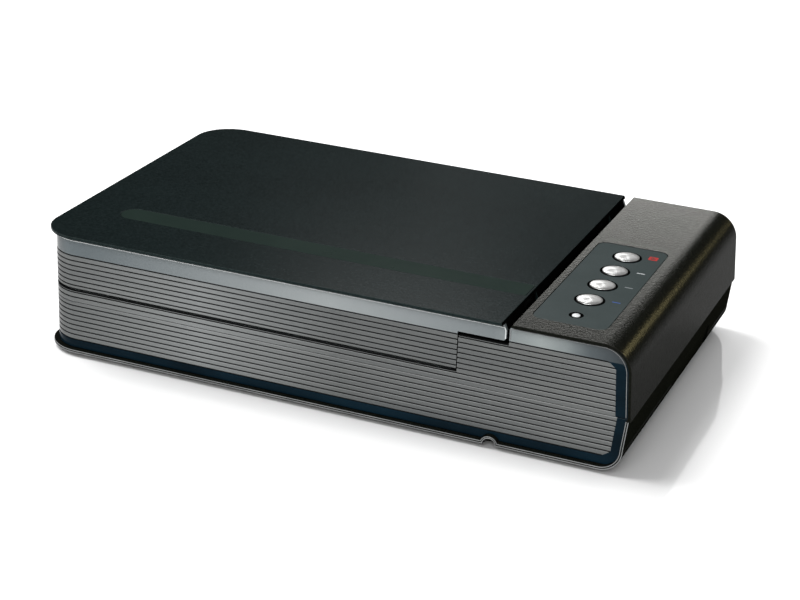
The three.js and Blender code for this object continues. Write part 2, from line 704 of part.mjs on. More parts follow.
// Room for the ends of the front and rear walls, which close the black plates' folded ends.
function endRooms(x0, x1, z0, z1) {
  const inner = WALL_INNER - GAP;
  const outer = HALF_D + 1;
  return [box(x0, x1, -outer, -inner, z0, z1), box(x0, x1, inner, outer, z0, z1)];
}

// The glossy band let into the top of the lid: one round end, running out at the hinge edge.
function inlayOutline(inset) {
  const r = (INLAY.back - INLAY.front) / 2 - inset;
  const y = (INLAY.back + INLAY.front) / 2;
  const right = INLAY.right - inset;
  const shape = new THREE.Shape();
  shape.moveTo(right, y - r);
  shape.lineTo(right, y + r);
  shape.absarc(INLAY.left + inset + r, y, r, Math.PI / 2, Math.PI * 1.5, false);
  shape.closePath();
  return shape;
}

function lidInlay() {
  const bottom = HEIGHT - INLAY.recess;
  return raise(inlayOutline(GAP), bottom, bottom + INLAY.sheet, INLAY_SEGMENTS);
}

function lidSkirt() {
  const right = LID_RIGHT;
  const ring = wall(WALL_INSET, WALL_T, right, LID_BOTTOM, LID_UNDERSIDE);
  const step = box(LID_DEEP_RIGHT, right + 1, -HALF_D, HALF_D, LID_BOTTOM - 1, TONGUE_BOTTOM);
  const tongueEnd = line(
    [-HALF_W - 1, LID_BOTTOM - 1],
    [right - TONGUE_CHAMFER, LID_BOTTOM - 1],
    [right - TONGUE_CHAMFER, TONGUE_BOTTOM],
    [right, TONGUE_BOTTOM + TONGUE_CHAMFER],
    [right, LID_CHAMFER_Z],
    [LID_TOP_RIGHT, HEIGHT],
    [-HALF_W - 1, HEIGHT],
  );
  const sideView = carry(new THREE.Shape(tongueEnd.getPoints(1)), -HALF_D, HALF_D);
  return cut(ring.intersect(sideView), step, ...grooves(right + 1, LID_GROOVES));
}

// Inner tray of the lid: carries the pad, then steps up over the hinge deck.
function lidLiner() {
  const tongue = TONGUE_BOTTOM + GAP;
  const right = LID_RIGHT - 2 * LID_PLATE_T - 0.4;
  const path = line(
    [right, tongue],
    [LID_DEEP_RIGHT - GAP, tongue],
    [LID_DEEP_RIGHT - GAP, LINER_BOTTOM],
    [WALL_LEFT_INNER + GAP, LINER_BOTTOM],
  );
  const depth = WALL_INNER - GAP;
  const skin = carry(sheet(path, LINER_T), -depth, depth);
  const plan = raise(plateOutline(WALL_INSET + WALL_T + GAP, HALF_W), LID_BOTTOM, HEIGHT);
  const hingeLeft = HINGE.x - EAR.length + 3.8;
  const half = HINGE_OPENING_HALF;
  const openings = [-HINGE_Y, HINGE_Y].map((y) =>
    box(hingeLeft, right + 1, y - half, y + half, tongue - 1, tongue + LINER_T + 1),
  );
  return cut(skin.intersect(plan), ...openings);
}

function padSheet() {
  return box(PAD.left, PAD.right, PAD.front, PAD.back, PAD_SHEET.bottom, PAD_SHEET.top);
}

function foamPad() {
  return box(PAD.left, PAD.right, PAD.front, PAD.back, FOAM.bottom, FOAM.top);
}

// ---------------------------------------------------------------- hinges, in their own frame

// The room a post needs, as a cutting tool at a given depth in the case.
function postSpace(y, z0, z1) {
  const half = POST.half + SLIDE_GAP;
  return box(POST.left - SLIDE_GAP, POST.right + SLIDE_GAP, y - half, y + half, z0, z1);
}

function hingeSocket(y) {
  const skin = SLIDE_GAP + SOCKET_WALL;
  const half = POST.half + skin;
  const top = HINGE_DECK_TOP - SHELL_T - 0.1;
  const tube = box(POST.left - skin, POST.right + skin, y - half, y + half, POST.bottom - 1, top);
  return cut(tube, postSpace(y, POST.bottom - 2, HINGE_DECK_TOP));
}

// Post with a slim neck up to the knuckle, about (0, 0) at the hinge axis.
function hingePost() {
  const [left, right] = [POST.left - HINGE.x, POST.right - HINGE.x];
  const [bottom, top] = [POST.bottom - HINGE.z, POST.top - HINGE.z];
  const body = box(left, right, -POST.half, POST.half, bottom, top);
  const neck = box(-NECK_HALF, NECK_HALF, -KNUCKLE_HALF, KNUCKLE_HALF, top - LAP, 0);
  const knuckle = rod("y", 0, 0, KNUCKLE_R, -KNUCKLE_HALF, KNUCKLE_HALF, HINGE_SIDES);
  const bore = rod("y", 0, 0, PIN_R + 0.15, -KNUCKLE_HALF - 1, KNUCKLE_HALF + 1);
  return cut(join(body, neck, knuckle), bore);
}

function hingePin() {
  return rod("y", 0, 0, PIN_R, -HINGE_OPENING_HALF + 0.7, HINGE_OPENING_HALF - 0.7);
}

// Two ears beside the knuckle, joined by a foot under the lid's top plate.
function hingeBracket() {
  const under = LID_UNDERSIDE - HINGE.z - 0.2;
  const ears = [-1, 1].map((side) => {
    const edges = [side * (KNUCKLE_HALF + EAR.near), side * (KNUCKLE_HALF + EAR.far)];
    const [y0, y1] = [Math.min(...edges), Math.max(...edges)];
    const web = box(-EAR.length, 0, y0, y1, -3, under);
    return join(web, rod("y", 0, 0, EAR.r, y0, y1, HINGE_SIDES));
  });
  const { left, right, thickness } = BRACKET_FOOT;
  const half = HINGE_OPENING_HALF - 0.5;
  const foot = box(left, right, -half, half, under - thickness, under);
  const bore = rod("y", 0, 0, PIN_R + 0.4, -HINGE_OPENING_HALF, HINGE_OPENING_HALF);
  return cut(join(foot, ...ears), bore);
}

// ---------------------------------------------------------------- scanning carriage

function carriageBody() {
  const { left, right, front, back, bottom, top, wall: skin } = CARRIAGE;
  const shell = box(left, right, front, back, bottom, top);
  const hollow = box(left + skin, right - skin, front + skin, back - skin, bottom + skin, top + 1);
  const lugHalf = 7.5;
  const lug = box(left + 5, right - 5, back - 1, ROD.y + lugHalf, bottom, ROD.z + lugHalf);
  const bore = rod("x", ROD.y, ROD.z, BUSHING_R + LAP, left + 4, right - 4);
  const glideLength = 10;
  const glides = [left + 8, right - 8 - glideLength].map((x) =>
    box(x, x + glideLength, front + 0.5, front + 4, bottom - 0.4, bottom + 1),
  );
  return cut(join(cut(shell, hollow), lug, ...glides), bore);
}

function carriageCover() {
  const { left, right, front, back, top } = CARRIAGE;
  const [z0, z1] = [top + LAP, top + 1.8];
  const plate = box(left + GAP, right - GAP, front + GAP, back - GAP, z0, z1);
  return cut(plate, box(SLIT.left, SLIT.right, SLIT.front, SLIT.back, z0 - 1, z1 + 1));
}

const lampTube = () => rod("y", LAMP.x, LAMP.z, LAMP.r, SLIT.front - 0.5, SLIT.back + 4, 12);

// A strip mirror about its own centre line; its mesh is turned to fold the light path.
function foldMirror() {
  const [halfX, halfZ] = [MIRROR.width / 2, MIRROR.thickness / 2];
  return box(-halfX, halfX, SLIT.front, SLIT.back, -halfZ, halfZ);
}

function lensBarrel() {
  const { barrelR, collarR, half, boreR, mouthR } = LENS;
  const [collarBack, collarFront] = [-2, 4];
  return turn(
    [
      [boreR, -half],
      [barrelR, -half],
      [barrelR, collarBack],
      [collarR, collarBack],
      [collarR, collarFront],
      [barrelR, collarFront],
      [barrelR, half],
      [mouthR, half],
      [mouthR, half - 4],
      [boreR, half - 6],
      [boreR, -half],
    ],
    20,
  );
}

function sensorBoard() {
  const { face, board, half, chipHalf, bottom, top } = SENSOR;
  const plate = box(board, board + BOARD_T, LENS.y - half, LENS.y + half, bottom, top);
  const [y0, y1] = [LENS.y - chipHalf, LENS.y + chipHalf];
  const chip = box(face, board + LAP / 2, y0, y1, LENS.z - 4.5, LENS.z + 4.5);
  return join(plate, chip);
}

function rodBushing() {
  const ring = rod("x", ROD.y, ROD.z, BUSHING_R, CARRIAGE.left + 6, CARRIAGE.right - 6);
  return cut(ring, rod("x", ROD.y, ROD.z, ROD.r + 0.25, CARRIAGE.left, CARRIAGE.right));
}

function beltClamp() {
  const strand = GEAR_AT.y - PULLEY_R - GAP - BELT_T;
  const right = CARRIAGE.right - 4;
  const left = right - 20;
  const [z0, z1] = [BELT_BOTTOM - 3, BELT_TOP + 3];
  const block = box(left, right, CARRIAGE.back + LAP, strand + 4, z0, z1);
  const [slotFront, slotBack] = [strand - GAP, strand + BELT_T + GAP];
  return cut(block, box(left - 1, right + 1, slotFront, slotBack, BELT_BOTTOM - 0.5, z1 + 1));
}

// ---------------------------------------------------------------- rails, belt and motor

const guideRod = () => rod("x", ROD.y, ROD.z, ROD.r, ROD.left, ROD.right);

function slideRail() {
  const front = CARRIAGE.front + RAIL.front;
  return box(RAIL.left, RAIL.right, front, front + RAIL.width, FLOOR_TOP + 0.1, RAIL.top);
}

// White strip stuck under the deck, above the carriage's home position.
function calibrationStrip() {
  const [left, right] = [SLIT.left - 2, SLIT.right];
  const top = GLASS_TOP - GLASS_T - 1.9;
  return box(left, right, SLIT.front, SLIT.back, top - 0.8, top);
}

// Outline of an involute spur gear with a little backlash.
function gearOutline(teeth) {
  const pitch = (GEAR_MODULE * teeth) / 2;
  const base = pitch * Math.cos(PRESSURE_ANGLE);
  const involute = (angle) => Math.tan(angle) - angle;
  const halfAngle = (r) =>
    Math.PI / (2 * teeth) -
    BACKLASH / (2 * pitch) +
    involute(PRESSURE_ANGLE) -
    involute(Math.acos(Math.min(1, base / r)));
  const radii = [pitch - 1.15 * GEAR_MODULE, pitch + 0.85 * GEAR_MODULE];
  const points = [];
  for (let tooth = 0; tooth < teeth; tooth++) {
    const centre = (tooth * 2 * Math.PI) / teeth;
    const flank = (r, side) => {
      const angle = centre + side * halfAngle(r);
      return new THREE.Vector2(r * Math.cos(angle), r * Math.sin(angle));
    };
    radii.forEach((r) => points.push(flank(r, -1)));
    [...radii].reverse().forEach((r) => points.push(flank(r, 1)));
  }
  return new THREE.Shape(points);
}

// Pulley with two flanges, from its lower flange up.
function pulley(z0) {
  const { r, rim, gap } = FLANGED;
  const upper = z0 + rim + gap;
  return turn(
    [
      [0, z0],
      [r, z0],
      [r, z0 + rim],
      [PULLEY_R, z0 + rim],
      [PULLEY_R, upper],
      [r, upper],
      [r, upper + rim],
      [0, upper + rim],
    ],
    24,
  );
}

const axleBore = () => rod("z", 0, 0, AXLE_BORE_R, GEAR_BOTTOM - 5, AXLE_TOP + 5, 20);

function driveGear() {
  const top = GEAR_BOTTOM + GEAR_T;
  const wheel = raise(gearOutline(GEAR_TEETH), GEAR_BOTTOM, top);
  const hub = rod("z", 0, 0, PULLEY_R + 1, top - LAP, PULLEY_BOTTOM + LAP);
  return cut(join(wheel, hub, pulley(PULLEY_BOTTOM)), axleBore());
}

// Pinion with the motor shaft it is pressed on.
function motorPinion() {
  const top = GEAR_BOTTOM + GEAR_T;
  const wheel = raise(gearOutline(PINION_TEETH), GEAR_BOTTOM - 0.2, top + 0.4);
  const shaftR = 1.5;
  return join(wheel, rod("z", 0, 0, shaftR, MOTOR_BOTTOM + 9, top + 1.5));
}

function idlerPulley() {
  return cut(pulley(PULLEY_BOTTOM), axleBore());
}

function driveMotor() {
  const top = MOTOR_PLATE_BOTTOM - 0.1;
  const can = turn(
    [
      [0, MOTOR_BOTTOM],
      [MOTOR_R - 1, MOTOR_BOTTOM],
      [MOTOR_R, MOTOR_BOTTOM + 1],
      [MOTOR_R, top - 1.2],
      [MOTOR_R - 0.6, top],
      [0, top],
    ],
    28,
  );
  const earReach = MOTOR_R + 3.5;
  const ears = box(-earReach, earReach, -4, 4, top - 1.4, top);
  const socketBottom = MOTOR_BOTTOM + 3;
  const socket = box(-6, 6, -MOTOR_R - 4, -MOTOR_R + 2, socketBottom, socketBottom + 7);
  const shaftBore = rod("z", 0, 0, 2, MOTOR_BOTTOM + 8, top + 1);
  return cut(join(can, ears, socket), shaftBore);
}

// Sheet-metal plate over the motor, on two legs, with the axle the big gear turns on.
function motorPlate() {
  const { left, right, front, back } = MOTOR_PLATE;
  const [z0, z1] = [MOTOR_PLATE_BOTTOM, MOTOR_PLATE_BOTTOM + MOTOR_PLATE_T];
  const plate = box(left, right, front, back, z0, z1);
  const leg = (y0, y1) => box(left, left + MOTOR_PLATE_T, y0, y1, FLOOR_TOP + LAP, z0 + LAP);
  const legs = [leg(back - 10, back), leg(front, front + 4)];
  const axle = rod("z", GEAR_AT.x, GEAR_AT.y, AXLE_R, z1 - LAP, AXLE_TOP, 20);
  const pinionHole = rod("z", MOTOR_AT.x, MOTOR_AT.y, 6.5, z0 - 1, z1 + 1, 20);
  return cut(join(plate, axle, ...legs), pinionHole);
}

// Arm that carries the idler's axle, with an eye for the tension spring.
function idlerBracket() {
  const { left, bottom, top, half, footT } = IDLER_ARM;
  const arm = box(left, IDLER_X + 7, GEAR_AT.y - half, GEAR_AT.y + half, bottom, top);
  const [front, back] = [TENSION_Y - IDLER_COLUMN.half, TENSION_Y + IDLER_COLUMN.half];
  const footBottom = IDLER_COLUMN.top + 0.1;
  const foot = box(SPRING.x, left + 1, front, back, footBottom, footBottom + footT);
  const axle = rod("z", IDLER_X, GEAR_AT.y, AXLE_R, top - LAP, AXLE_TOP, 20);
  const stop = left - 0.6;
  const springStop = box(stop, stop + IDLER_COLUMN.stopT, front, back, footBottom + 1, IDLER_COLUMN.stopTop);
  return join(arm, foot, axle, springStop);
}

// Coil of the tension spring, along X above the bracket's foot.
function idlerSpring() {
  const { turns, length, r, wire: wireR, steps } = SPRING;
  const count = turns * steps;
  const points = Array.from({ length: count + 1 }, (_, i) => {
    const angle = (i * 2 * Math.PI) / steps;
    return new THREE.Vector3((i / count) * length, r * Math.cos(angle), r * Math.sin(angle));
  });
  const wire = new THREE.Shape();
  wire.absarc(0, 0, wireR, 0, Math.PI * 2, false);
  const extrudePath = new THREE.CatmullRomCurve3(points);
  const options = { steps: count, bevelEnabled: false, extrudePath, curveSegments: 2 };
  return solid(new THREE.ExtrudeGeometry(wire, options));
}

function driveBelt() {
  const loop = (r) => {
    const shape = new THREE.Shape();
    shape.moveTo(IDLER_X, -r);
    shape.lineTo(GEAR_AT.x, -r);
    shape.absarc(GEAR_AT.x, 0, r, -Math.PI / 2, Math.PI / 2, false);
    shape.absarc(IDLER_X, 0, r, Math.PI / 2, Math.PI * 1.5, false);
    return shape;
  };
  const inner = PULLEY_R + GAP;
  const outer = raise(loop(inner + BELT_T), BELT_BOTTOM, BELT_TOP, 10);
  return cut(outer, raise(loop(inner), BELT_BOTTOM - 1, BELT_TOP + 1, 10));
}

// Flat cable from the main board down to the floor and back under the carriage.
function ribbonCable() {
  const { x, front, back, floor, loop, bend, end, t } = CABLE;
  const path = line([x, MAIN_BOARD.bottom - GAP], [x, floor], [loop, floor]);
  path.absarc(loop, floor + bend, bend, Math.PI * 1.5, Math.PI / 2, true);
  path.lineTo(end, floor + 2 * bend);
  return carry(sheet(path, t), front, back);
}

// ---------------------------------------------------------------- underside

function foot() {
  const edge = 0.8;
  const top = FOOT_HEIGHT - 0.05;
  return turn([[0, 0], [FOOT_R - 1, 0], [FOOT_R, edge], [FOOT_R, top], [0, top]], 20);
}

function caseScrew() {
  const headR = 2 * SCREW_SHANK_R;
  const [headBottom, headTop] = [1, CASE_BOTTOM - 0.1];
  return turn([
    [0, headBottom + 0.4],
    [1.2, headBottom],
    [headR - 0.4, headBottom],
    [headR, headBottom + 0.6],
    [headR, headTop],
    [SCREW_SHANK_R, headTop],
    [SCREW_SHANK_R, BOSS_TOP - 1],
    [0, BOSS_TOP - 0.4],
  ]);
}

// Slider that pins the carriage for transport: finger knob below, retaining flange above.
function transportLock() {
  const { knobX, knobY, flangeX, flangeY } = LOCK;
  const knobBottom = 1.2;
  const knob = box(-knobX, knobX, -knobY, knobY, knobBottom, FLOOR_TOP + 0.8);
  const flangeBottom = FLOOR_TOP + 0.2;
  const flange = box(-flangeX, flangeX, -flangeY, flangeY, flangeBottom, flangeBottom + 1.5);
  const ridgePitch = 2.6;
  const ridges = [-1.5, -0.5, 0.5, 1.5].map((step) => {
    const x = step * ridgePitch;
    return box(x - 0.3, x + 0.3, -knobY - 1, knobY + 1, knobBottom - GAP, knobBottom + 0.6);
  });
  return cut(join(knob, flange), ...ridges);
}

// ---------------------------------------------------------------- the scene graph

const scanner = new THREE.Group();

// Adds a named piece to a group, at an optional place and turn.
function place(group, name, made, look, position = [0, 0, 0], rotation = [0, 0, 0]) {
  const mesh = new THREE.Mesh(geometryOf(made), look);
  mesh.name = name;
  mesh.position.set(...position);
  mesh.rotation.set(...rotation);
  group.add(mesh);
}

const base = new THREE.Group();
scanner.add(base);
place(base, "lower_case", lowerCase(), texturedBlack);
place(base, "lower_wall", lowerWall(), ribbedGrey);
place(base, "upper_wall", upperWall(), ribbedGrey);
place(base, "platen_deck", platenDeck(), innerBlack);
place(base, "platen_glass", platenGlass(), glassClear);
place(base, "calibration_strip", calibrationStrip(), whiteSheet);
place(base, "control_cover", controlCover(), texturedBlack);
place(base, "panel_overlay", panelOverlay(), overlayGrey);
place(base, "led_lens", ledLens(), lampWhite, [BUTTON_X, LED_Y, HEIGHT]);
place(base, "button_board", buttonBoard(), boardGreen);
place(base, "main_board", mainBoard(), boardGreen);
place(base, "usb_port", usbPort(), steel, [USB.x, PORT_Y, PORT_Z]);
place(base, "power_jack", powerJack(), innerBlack, [JACK.x, PORT_Y, PORT_Z]);
place(base, "guide_rod", guideRod(), steel);
place(base, "slide_rail", slideRail(), innerBlack);
place(base, "hinge_socket_front", hingeSocket(-HINGE_Y), innerBlack);
place(base, "hinge_socket_rear", hingeSocket(HINGE_Y), innerBlack);
place(base, "drive_motor", driveMotor(), steel, [MOTOR_AT.x, MOTOR_AT.y, 0]);
place(base, "motor_plate", motorPlate(), steel);
place(base, "idler_bracket", idlerBracket(), steel);
place(base, "idler_spring", idlerSpring(), steel, [SPRING.x, TENSION_Y, SPRING.z]);
place(base, "drive_belt", driveBelt(), rubberBlack, [0, GEAR_AT.y, 0]);
place(base, "ribbon_cable", ribbonCable(), cableGrey);
FEET.forEach(([name, x, y]) => place(base, name, foot(), rubberBlack, [x, y, 0]));
SCREWS.forEach(([name, x, y]) => place(base, name, caseScrew(), steel, [x, y, 0]));

buttonYs.forEach((y, i) =>
  place(scanner, `button_${i + 1}`, buttonCap(), brushedSilver, [BUTTON_X, y, HEIGHT]),
);
const rockerAt = [ROCKER.x, ROCKER.y, PORT_Z];
place(scanner, "power_rocker", powerRocker(), innerBlack, rockerAt, [0, 0, ROCKER.tilt]);
place(scanner, "transport_lock", transportLock(), innerBlack, [LOCK.x, LOCK.y, 0]);

// one tooth of the gear points at the motor, and a gap of the pinion faces it
const gearPhase = [0, 0, MOTOR_DIRECTION];
const pinionPhase = [0, 0, MOTOR_DIRECTION + Math.PI + Math.PI / PINION_TEETH];
place(scanner, "drive_gear", driveGear(), palePlastic, [GEAR_AT.x, GEAR_AT.y, 0], gearPhase);
place(scanner, "motor_pinion", motorPinion(), brass, [MOTOR_AT.x, MOTOR_AT.y, 0], pinionPhase);
place(scanner, "idler_pulley", idlerPulley(), palePlastic, [IDLER_X, GEAR_AT.y, 0]);

const carriage = new THREE.Group();
scanner.add(carriage);
place(carriage, "carriage_body", carriageBody(), innerBlack);
place(carriage, "carriage_cover", carriageCover(), innerBlack);
place(carriage, "lamp_tube", lampTube(), lampWhite);
const mirrorTurn = [0, Math.PI / 4, 0];
place(carriage, "fold_mirror", foldMirror(), mirrorGlass, [MIRROR.x, 0, MIRROR.z], mirrorTurn);
const alongX = [0, Math.PI / 2, 0];
place(carriage, "lens_barrel", lensBarrel(), innerBlack, [LENS.x, LENS.y, LENS.z], alongX);
place(carriage, "sensor_board", sensorBoard(), boardGreen);
place(carriage, "rod_bushing", rodBushing(), brass);
place(carriage, "belt_clamp", beltClamp(), palePlastic);

const hinges = new THREE.Group();
hinges.position.set(HINGE.x, 0, HINGE.z);
scanner.add(hinges);
[["front", -HINGE_Y], ["rear", HINGE_Y]].forEach(([end, y]) => {
  place(hinges, `hinge_post_${end}`, hingePost(), innerBlack, [0, y, 0]);
  place(hinges, `hinge_pin_${end}`, hingePin(), steel, [0, y, 0]);
  place(hinges, `hinge_bracket_${end}`, hingeBracket(), innerBlack, [0, y, 0]);
});

const lid = new THREE.Group();
scanner.add(lid);
place(lid, "lid_cover", lidCover(), lidBlack);
place(lid, "lid_inlay", lidInlay(), inlayBlack);
place(lid, "lid_skirt", lidSkirt(), ribbedGrey);
place(lid, "lid_liner", lidLiner(), innerBlack);
place(lid, "foam_pad", foamPad(), foamWhite);
place(lid, "pad_sheet", padSheet(), whiteSheet);

export default scanner;
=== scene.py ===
import json
from math import asin, cos, degrees, pi, radians, sin, sqrt, tan

import bmesh
import bpy
from mathutils import Matrix, Vector

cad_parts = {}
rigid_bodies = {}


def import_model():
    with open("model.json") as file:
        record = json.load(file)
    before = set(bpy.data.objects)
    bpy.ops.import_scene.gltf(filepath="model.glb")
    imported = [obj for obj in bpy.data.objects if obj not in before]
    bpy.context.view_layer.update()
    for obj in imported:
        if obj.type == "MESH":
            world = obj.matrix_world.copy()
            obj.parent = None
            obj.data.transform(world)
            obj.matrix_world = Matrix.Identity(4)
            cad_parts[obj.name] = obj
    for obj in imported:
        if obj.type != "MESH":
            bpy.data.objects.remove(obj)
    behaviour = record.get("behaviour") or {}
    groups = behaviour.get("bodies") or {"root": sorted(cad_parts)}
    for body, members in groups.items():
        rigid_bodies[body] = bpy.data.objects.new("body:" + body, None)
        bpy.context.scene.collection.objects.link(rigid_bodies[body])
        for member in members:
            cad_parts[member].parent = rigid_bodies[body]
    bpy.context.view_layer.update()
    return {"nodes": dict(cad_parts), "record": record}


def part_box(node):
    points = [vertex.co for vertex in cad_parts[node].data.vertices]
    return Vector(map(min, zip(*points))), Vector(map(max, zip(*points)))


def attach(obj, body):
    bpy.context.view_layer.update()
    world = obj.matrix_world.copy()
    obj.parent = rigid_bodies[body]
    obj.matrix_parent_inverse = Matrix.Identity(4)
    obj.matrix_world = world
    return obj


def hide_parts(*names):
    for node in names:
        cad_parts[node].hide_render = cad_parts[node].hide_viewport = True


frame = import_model()

MM = 0.001


def box_mm(node):
    """Lowest and highest corner of a CAD node, in millimetres."""
    low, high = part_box(node)
    return low / MM, high / MM


def middle_xy(node):
    """Centre of a CAD node in plan."""
    low, high = box_mm(node)
    return (low.x + high.x) / 2, (low.y + high.y) / 2


# ---------- dimensions, from the frame

case_low, case_high = box_mm("lower_case")
cover_low, cover_high = box_mm("control_cover")
lid_low, lid_high = box_mm("lid_cover")
wall_low, wall_high = box_mm("lower_wall")
upper_low, upper_high = box_mm("upper_wall")
skirt_low, skirt_high = box_mm("lid_skirt")
overlay_low, overlay_high = box_mm("panel_overlay")
inlay_low, inlay_high = box_mm("lid_inlay")

HALF_W = cover_high.x
HALF_D = case_high.y
TOP = cover_high.z
BOTTOM = case_low.z
SEAM = cover_low.z  # where the lower case and the control cover meet
PLATE_CORNER = 30.0  # radius of the plates' two left corners, in plan
SKIN = 2.2  # thickness of the case's mouldings
PLATE = 2.2  # thickness of the lid's top
GAP = 0.3  # between neighbouring pieces
HAIR = 0.1  # smallest clearance, between the walls and the shell
LIP_BACK = 0.4  # the lower case's edge stands back by this much behind its two fine lines

# roundings of the control end, seen from the front: radius, and X of the centre
TOP_CORNER = 20.0
TOP_CORNER_X = 204.3
BOTTOM_CORNER = 16.5
BOTTOM_CORNER_X = 206.3
LOWER_RIGHT = 225.1  # the lower case's right wall at the seam
ARC_STEPS = 28

# the V-shaped slit between the lid and the control end
COVER_LEFT = cover_low.x
COVER_TOP_LEFT = COVER_LEFT + 2.8
COVER_CHAMFER_Z = TOP - 5.1
LID_RIGHT = lid_high.x
LID_TOP_RIGHT = LID_RIGHT - 2.8
LID_CHAMFER_Z = TOP - 6.5
TONGUE_BOTTOM = lid_low.z
TONGUE_CHAMFER = 1.8
TONGUE_END = [(LID_TOP_RIGHT, TOP), (LID_RIGHT, LID_CHAMFER_Z),
              (LID_RIGHT, TONGUE_BOTTOM + TONGUE_CHAMFER),
              (LID_RIGHT - TONGUE_CHAMFER, TONGUE_BOTTOM)]

WALL_INSET = HALF_D - wall_high.y
WALL_T = 2.4
RIB_PITCH = 3.83
LOWER_GROOVES = (12.1, 8)  # height of the lowest groove, and how many
UPPER_GROOVES = (45.8, 10)
LID_GROOVES = (55.2, 7)
GROOVE_DEPTH = 1.3
UPPER_MARGIN = 9.9  # from the ribs' right end to the shell
LOWER_MARGIN = 7.2
CORNER_CUT = 4.0
DECK_STEP_X = 101.8
LID_STEP_X = 101.0
RIM_TOP = 50.6  # the case's rim under the lid
DECK_TOP = 77.4

# round notch in the lower edge, in front
NOTCH_X = 129.0
NOTCH_R = 4.6
NOTCH_RIM_R = 6.4

ROOM_RIGHT = 144.0  # the cover's room for the walls' ends reaches from the slit to here
ROOM_BOTTOM = 70.0
PAST = 1.0  # how far a cutting tool runs past what it cuts
FAR = 300.0  # outside the object on every side


# ---------- mesh helpers

def new_object(name, mesh):
    obj = bpy.data.objects.new(name, mesh)
    bpy.context.scene.collection.objects.link(obj)
    return obj


def mesh_object(name, points, faces):
    """A mesh object from points in millimetres."""
    mesh = bpy.data.meshes.new(name)
    mesh.from_pydata([tuple(c * MM for c in p) for p in points], [], faces)
    mesh.validate()
    obj = new_object(name, mesh)
    face_outward(obj)
    return obj


def face_outward(obj):
    work = bmesh.new()
    work.from_mesh(obj.data)
    bmesh.ops.recalc_face_normals(work, faces=work.faces)
    work.to_mesh(obj.data)
    work.free()


def arc(cx, cy, radius, start, end, steps):
    """Points round a circle, angles in degrees, both ends included."""
    turns = [radians(start + (end - start) * i / steps) for i in range(steps + 1)]
    return [(cx + radius * cos(a), cy + radius * sin(a)) for a in turns]


def prism(name, outline, axis, low, high):
    """An outline carried along an axis: (x, y) points along z, or (x, z) points along y."""
    def point(p, t):
        return (p[0], p[1], t) if axis == "z" else (p[0], t, p[1])

    count = len(outline)
    points = [point(p, low) for p in outline] + [point(p, high) for p in outline]
    sides = [(i, (i + 1) % count, count + (i + 1) % count, count + i) for i in range(count)]
    caps = [tuple(range(count)), tuple(range(count, 2 * count))]
    return mesh_object(name, points, sides + caps)


def block(name, x0, x1, y0, y1, z0, z1):
    return prism(name, [(x0, y0), (x1, y0), (x1, y1), (x0, y1)], "z", z0, z1)


def lathe(name, profile, centre, sides=64):
    """A round piece from its half profile of (radius, height).

    Both ends are on the axis or, for a ring, the first and last points are the same.
    """
    ring = profile[0] == profile[-1]
    points, rings = [], []
    for radius, height in profile[:-1] if ring else profile:
        if radius == 0:
            rings.append([len(points)])
            points.append((centre[0], centre[1], centre[2] + height))
            continue
        rings.append(list(range(len(points), len(points) + sides)))
        for i in range(sides):
            a = 2 * pi * i / sides
            x, y = centre[0] + radius * cos(a), centre[1] + radius * sin(a)
            points.append((x, y, centre[2] + height))
    if ring:
        rings.append(rings[0])
    faces = []
    for lower, upper in zip(rings, rings[1:]):
        for i in range(sides):
            j = (i + 1) % sides
            if len(lower) == 1:
                faces.append((lower[0], upper[j], upper[i]))
            elif len(upper) == 1:
                faces.append((lower[i], lower[j], upper[0]))
            else:
                faces.append((lower[i], lower[j], upper[j], upper[i]))
    return mesh_object(name, points, faces)


def evaluated_mesh(obj):
    depsgraph = bpy.context.evaluated_depsgraph_get()
    return bpy.data.meshes.new_from_object(obj.evaluated_get(depsgraph))


def bake(obj):
    """Applies the object's modifiers to its mesh."""
    mesh = evaluated_mesh(obj)
    obj.modifiers.clear()
    obj.data = mesh


def combine(obj, tool, operation="DIFFERENCE"):
    """Cuts, joins or trims an object with a tool, which is used up."""
    cutter = obj.modifiers.new("cut", "BOOLEAN")
    cutter.operation = operation
    cutter.solver = "EXACT"
    cutter.object = tool
    bake(obj)
    bpy.data.objects.remove(tool)


def add_bevel(obj, width, segments=2):
    bevel = obj.modifiers.new("edges", "BEVEL")
    bevel.width = width * MM
    bevel.segments = segments
    bevel.limit_method = "ANGLE"
    bevel.angle_limit = radians(35)


def smooth(obj, angle=32):
    """Smooth shading, with edges sharper than an angle kept."""
    for face in obj.data.polygons:
        face.use_smooth = True
    obj.data.set_sharp_from_angle(angle=radians(angle))
    weighted = obj.modifiers.new("normals", "WEIGHTED_NORMAL")
    weighted.weight = 100
    weighted.keep_sharp = True
    bake(obj)


def round_edges(obj, width, segments=2):
    add_bevel(obj, width, segments)
    bake(obj)
    smooth(obj)


def tube(name, path, radius):
    """A thin round bead along a path of points in millimetres."""
    curve = bpy.data.curves.new(name, "CURVE")
    curve.dimensions = "3D"
    curve.bevel_depth = radius * MM
    curve.bevel_resolution = 3
    curve.use_fill_caps = True
    spline = curve.splines.new("POLY")
    spline.points.add(len(path) - 1)
    for knot, place in zip(spline.points, path):
        knot.co = (place[0] * MM, place[1] * MM, place[2] * MM, 1)
    drawn = new_object(name, curve)
    mesh = evaluated_mesh(drawn)
    bpy.data.objects.remove(drawn)
    return new_object(name, mesh)


def offset_path(path, distance):
    """The path moved to its own right."""
    moved = []
    for i, p in enumerate(path):
        before, after = path[max(i - 1, 0)], path[min(i + 1, len(path) - 1)]
        entry = Vector(p) - Vector(before) if i else Vector(after) - Vector(p)
        leave = Vector(after) - Vector(p) if i < len(path) - 1 else entry
        entry, leave = entry.normalized(), leave.normalized()
        right_in, right_out = Vector((entry.y, -entry.x)), Vector((leave.y, -leave.x))
        middle = (right_in + right_out).normalized()
        moved.append(tuple(Vector(p) + middle * distance / middle.dot(right_in)))
    return moved


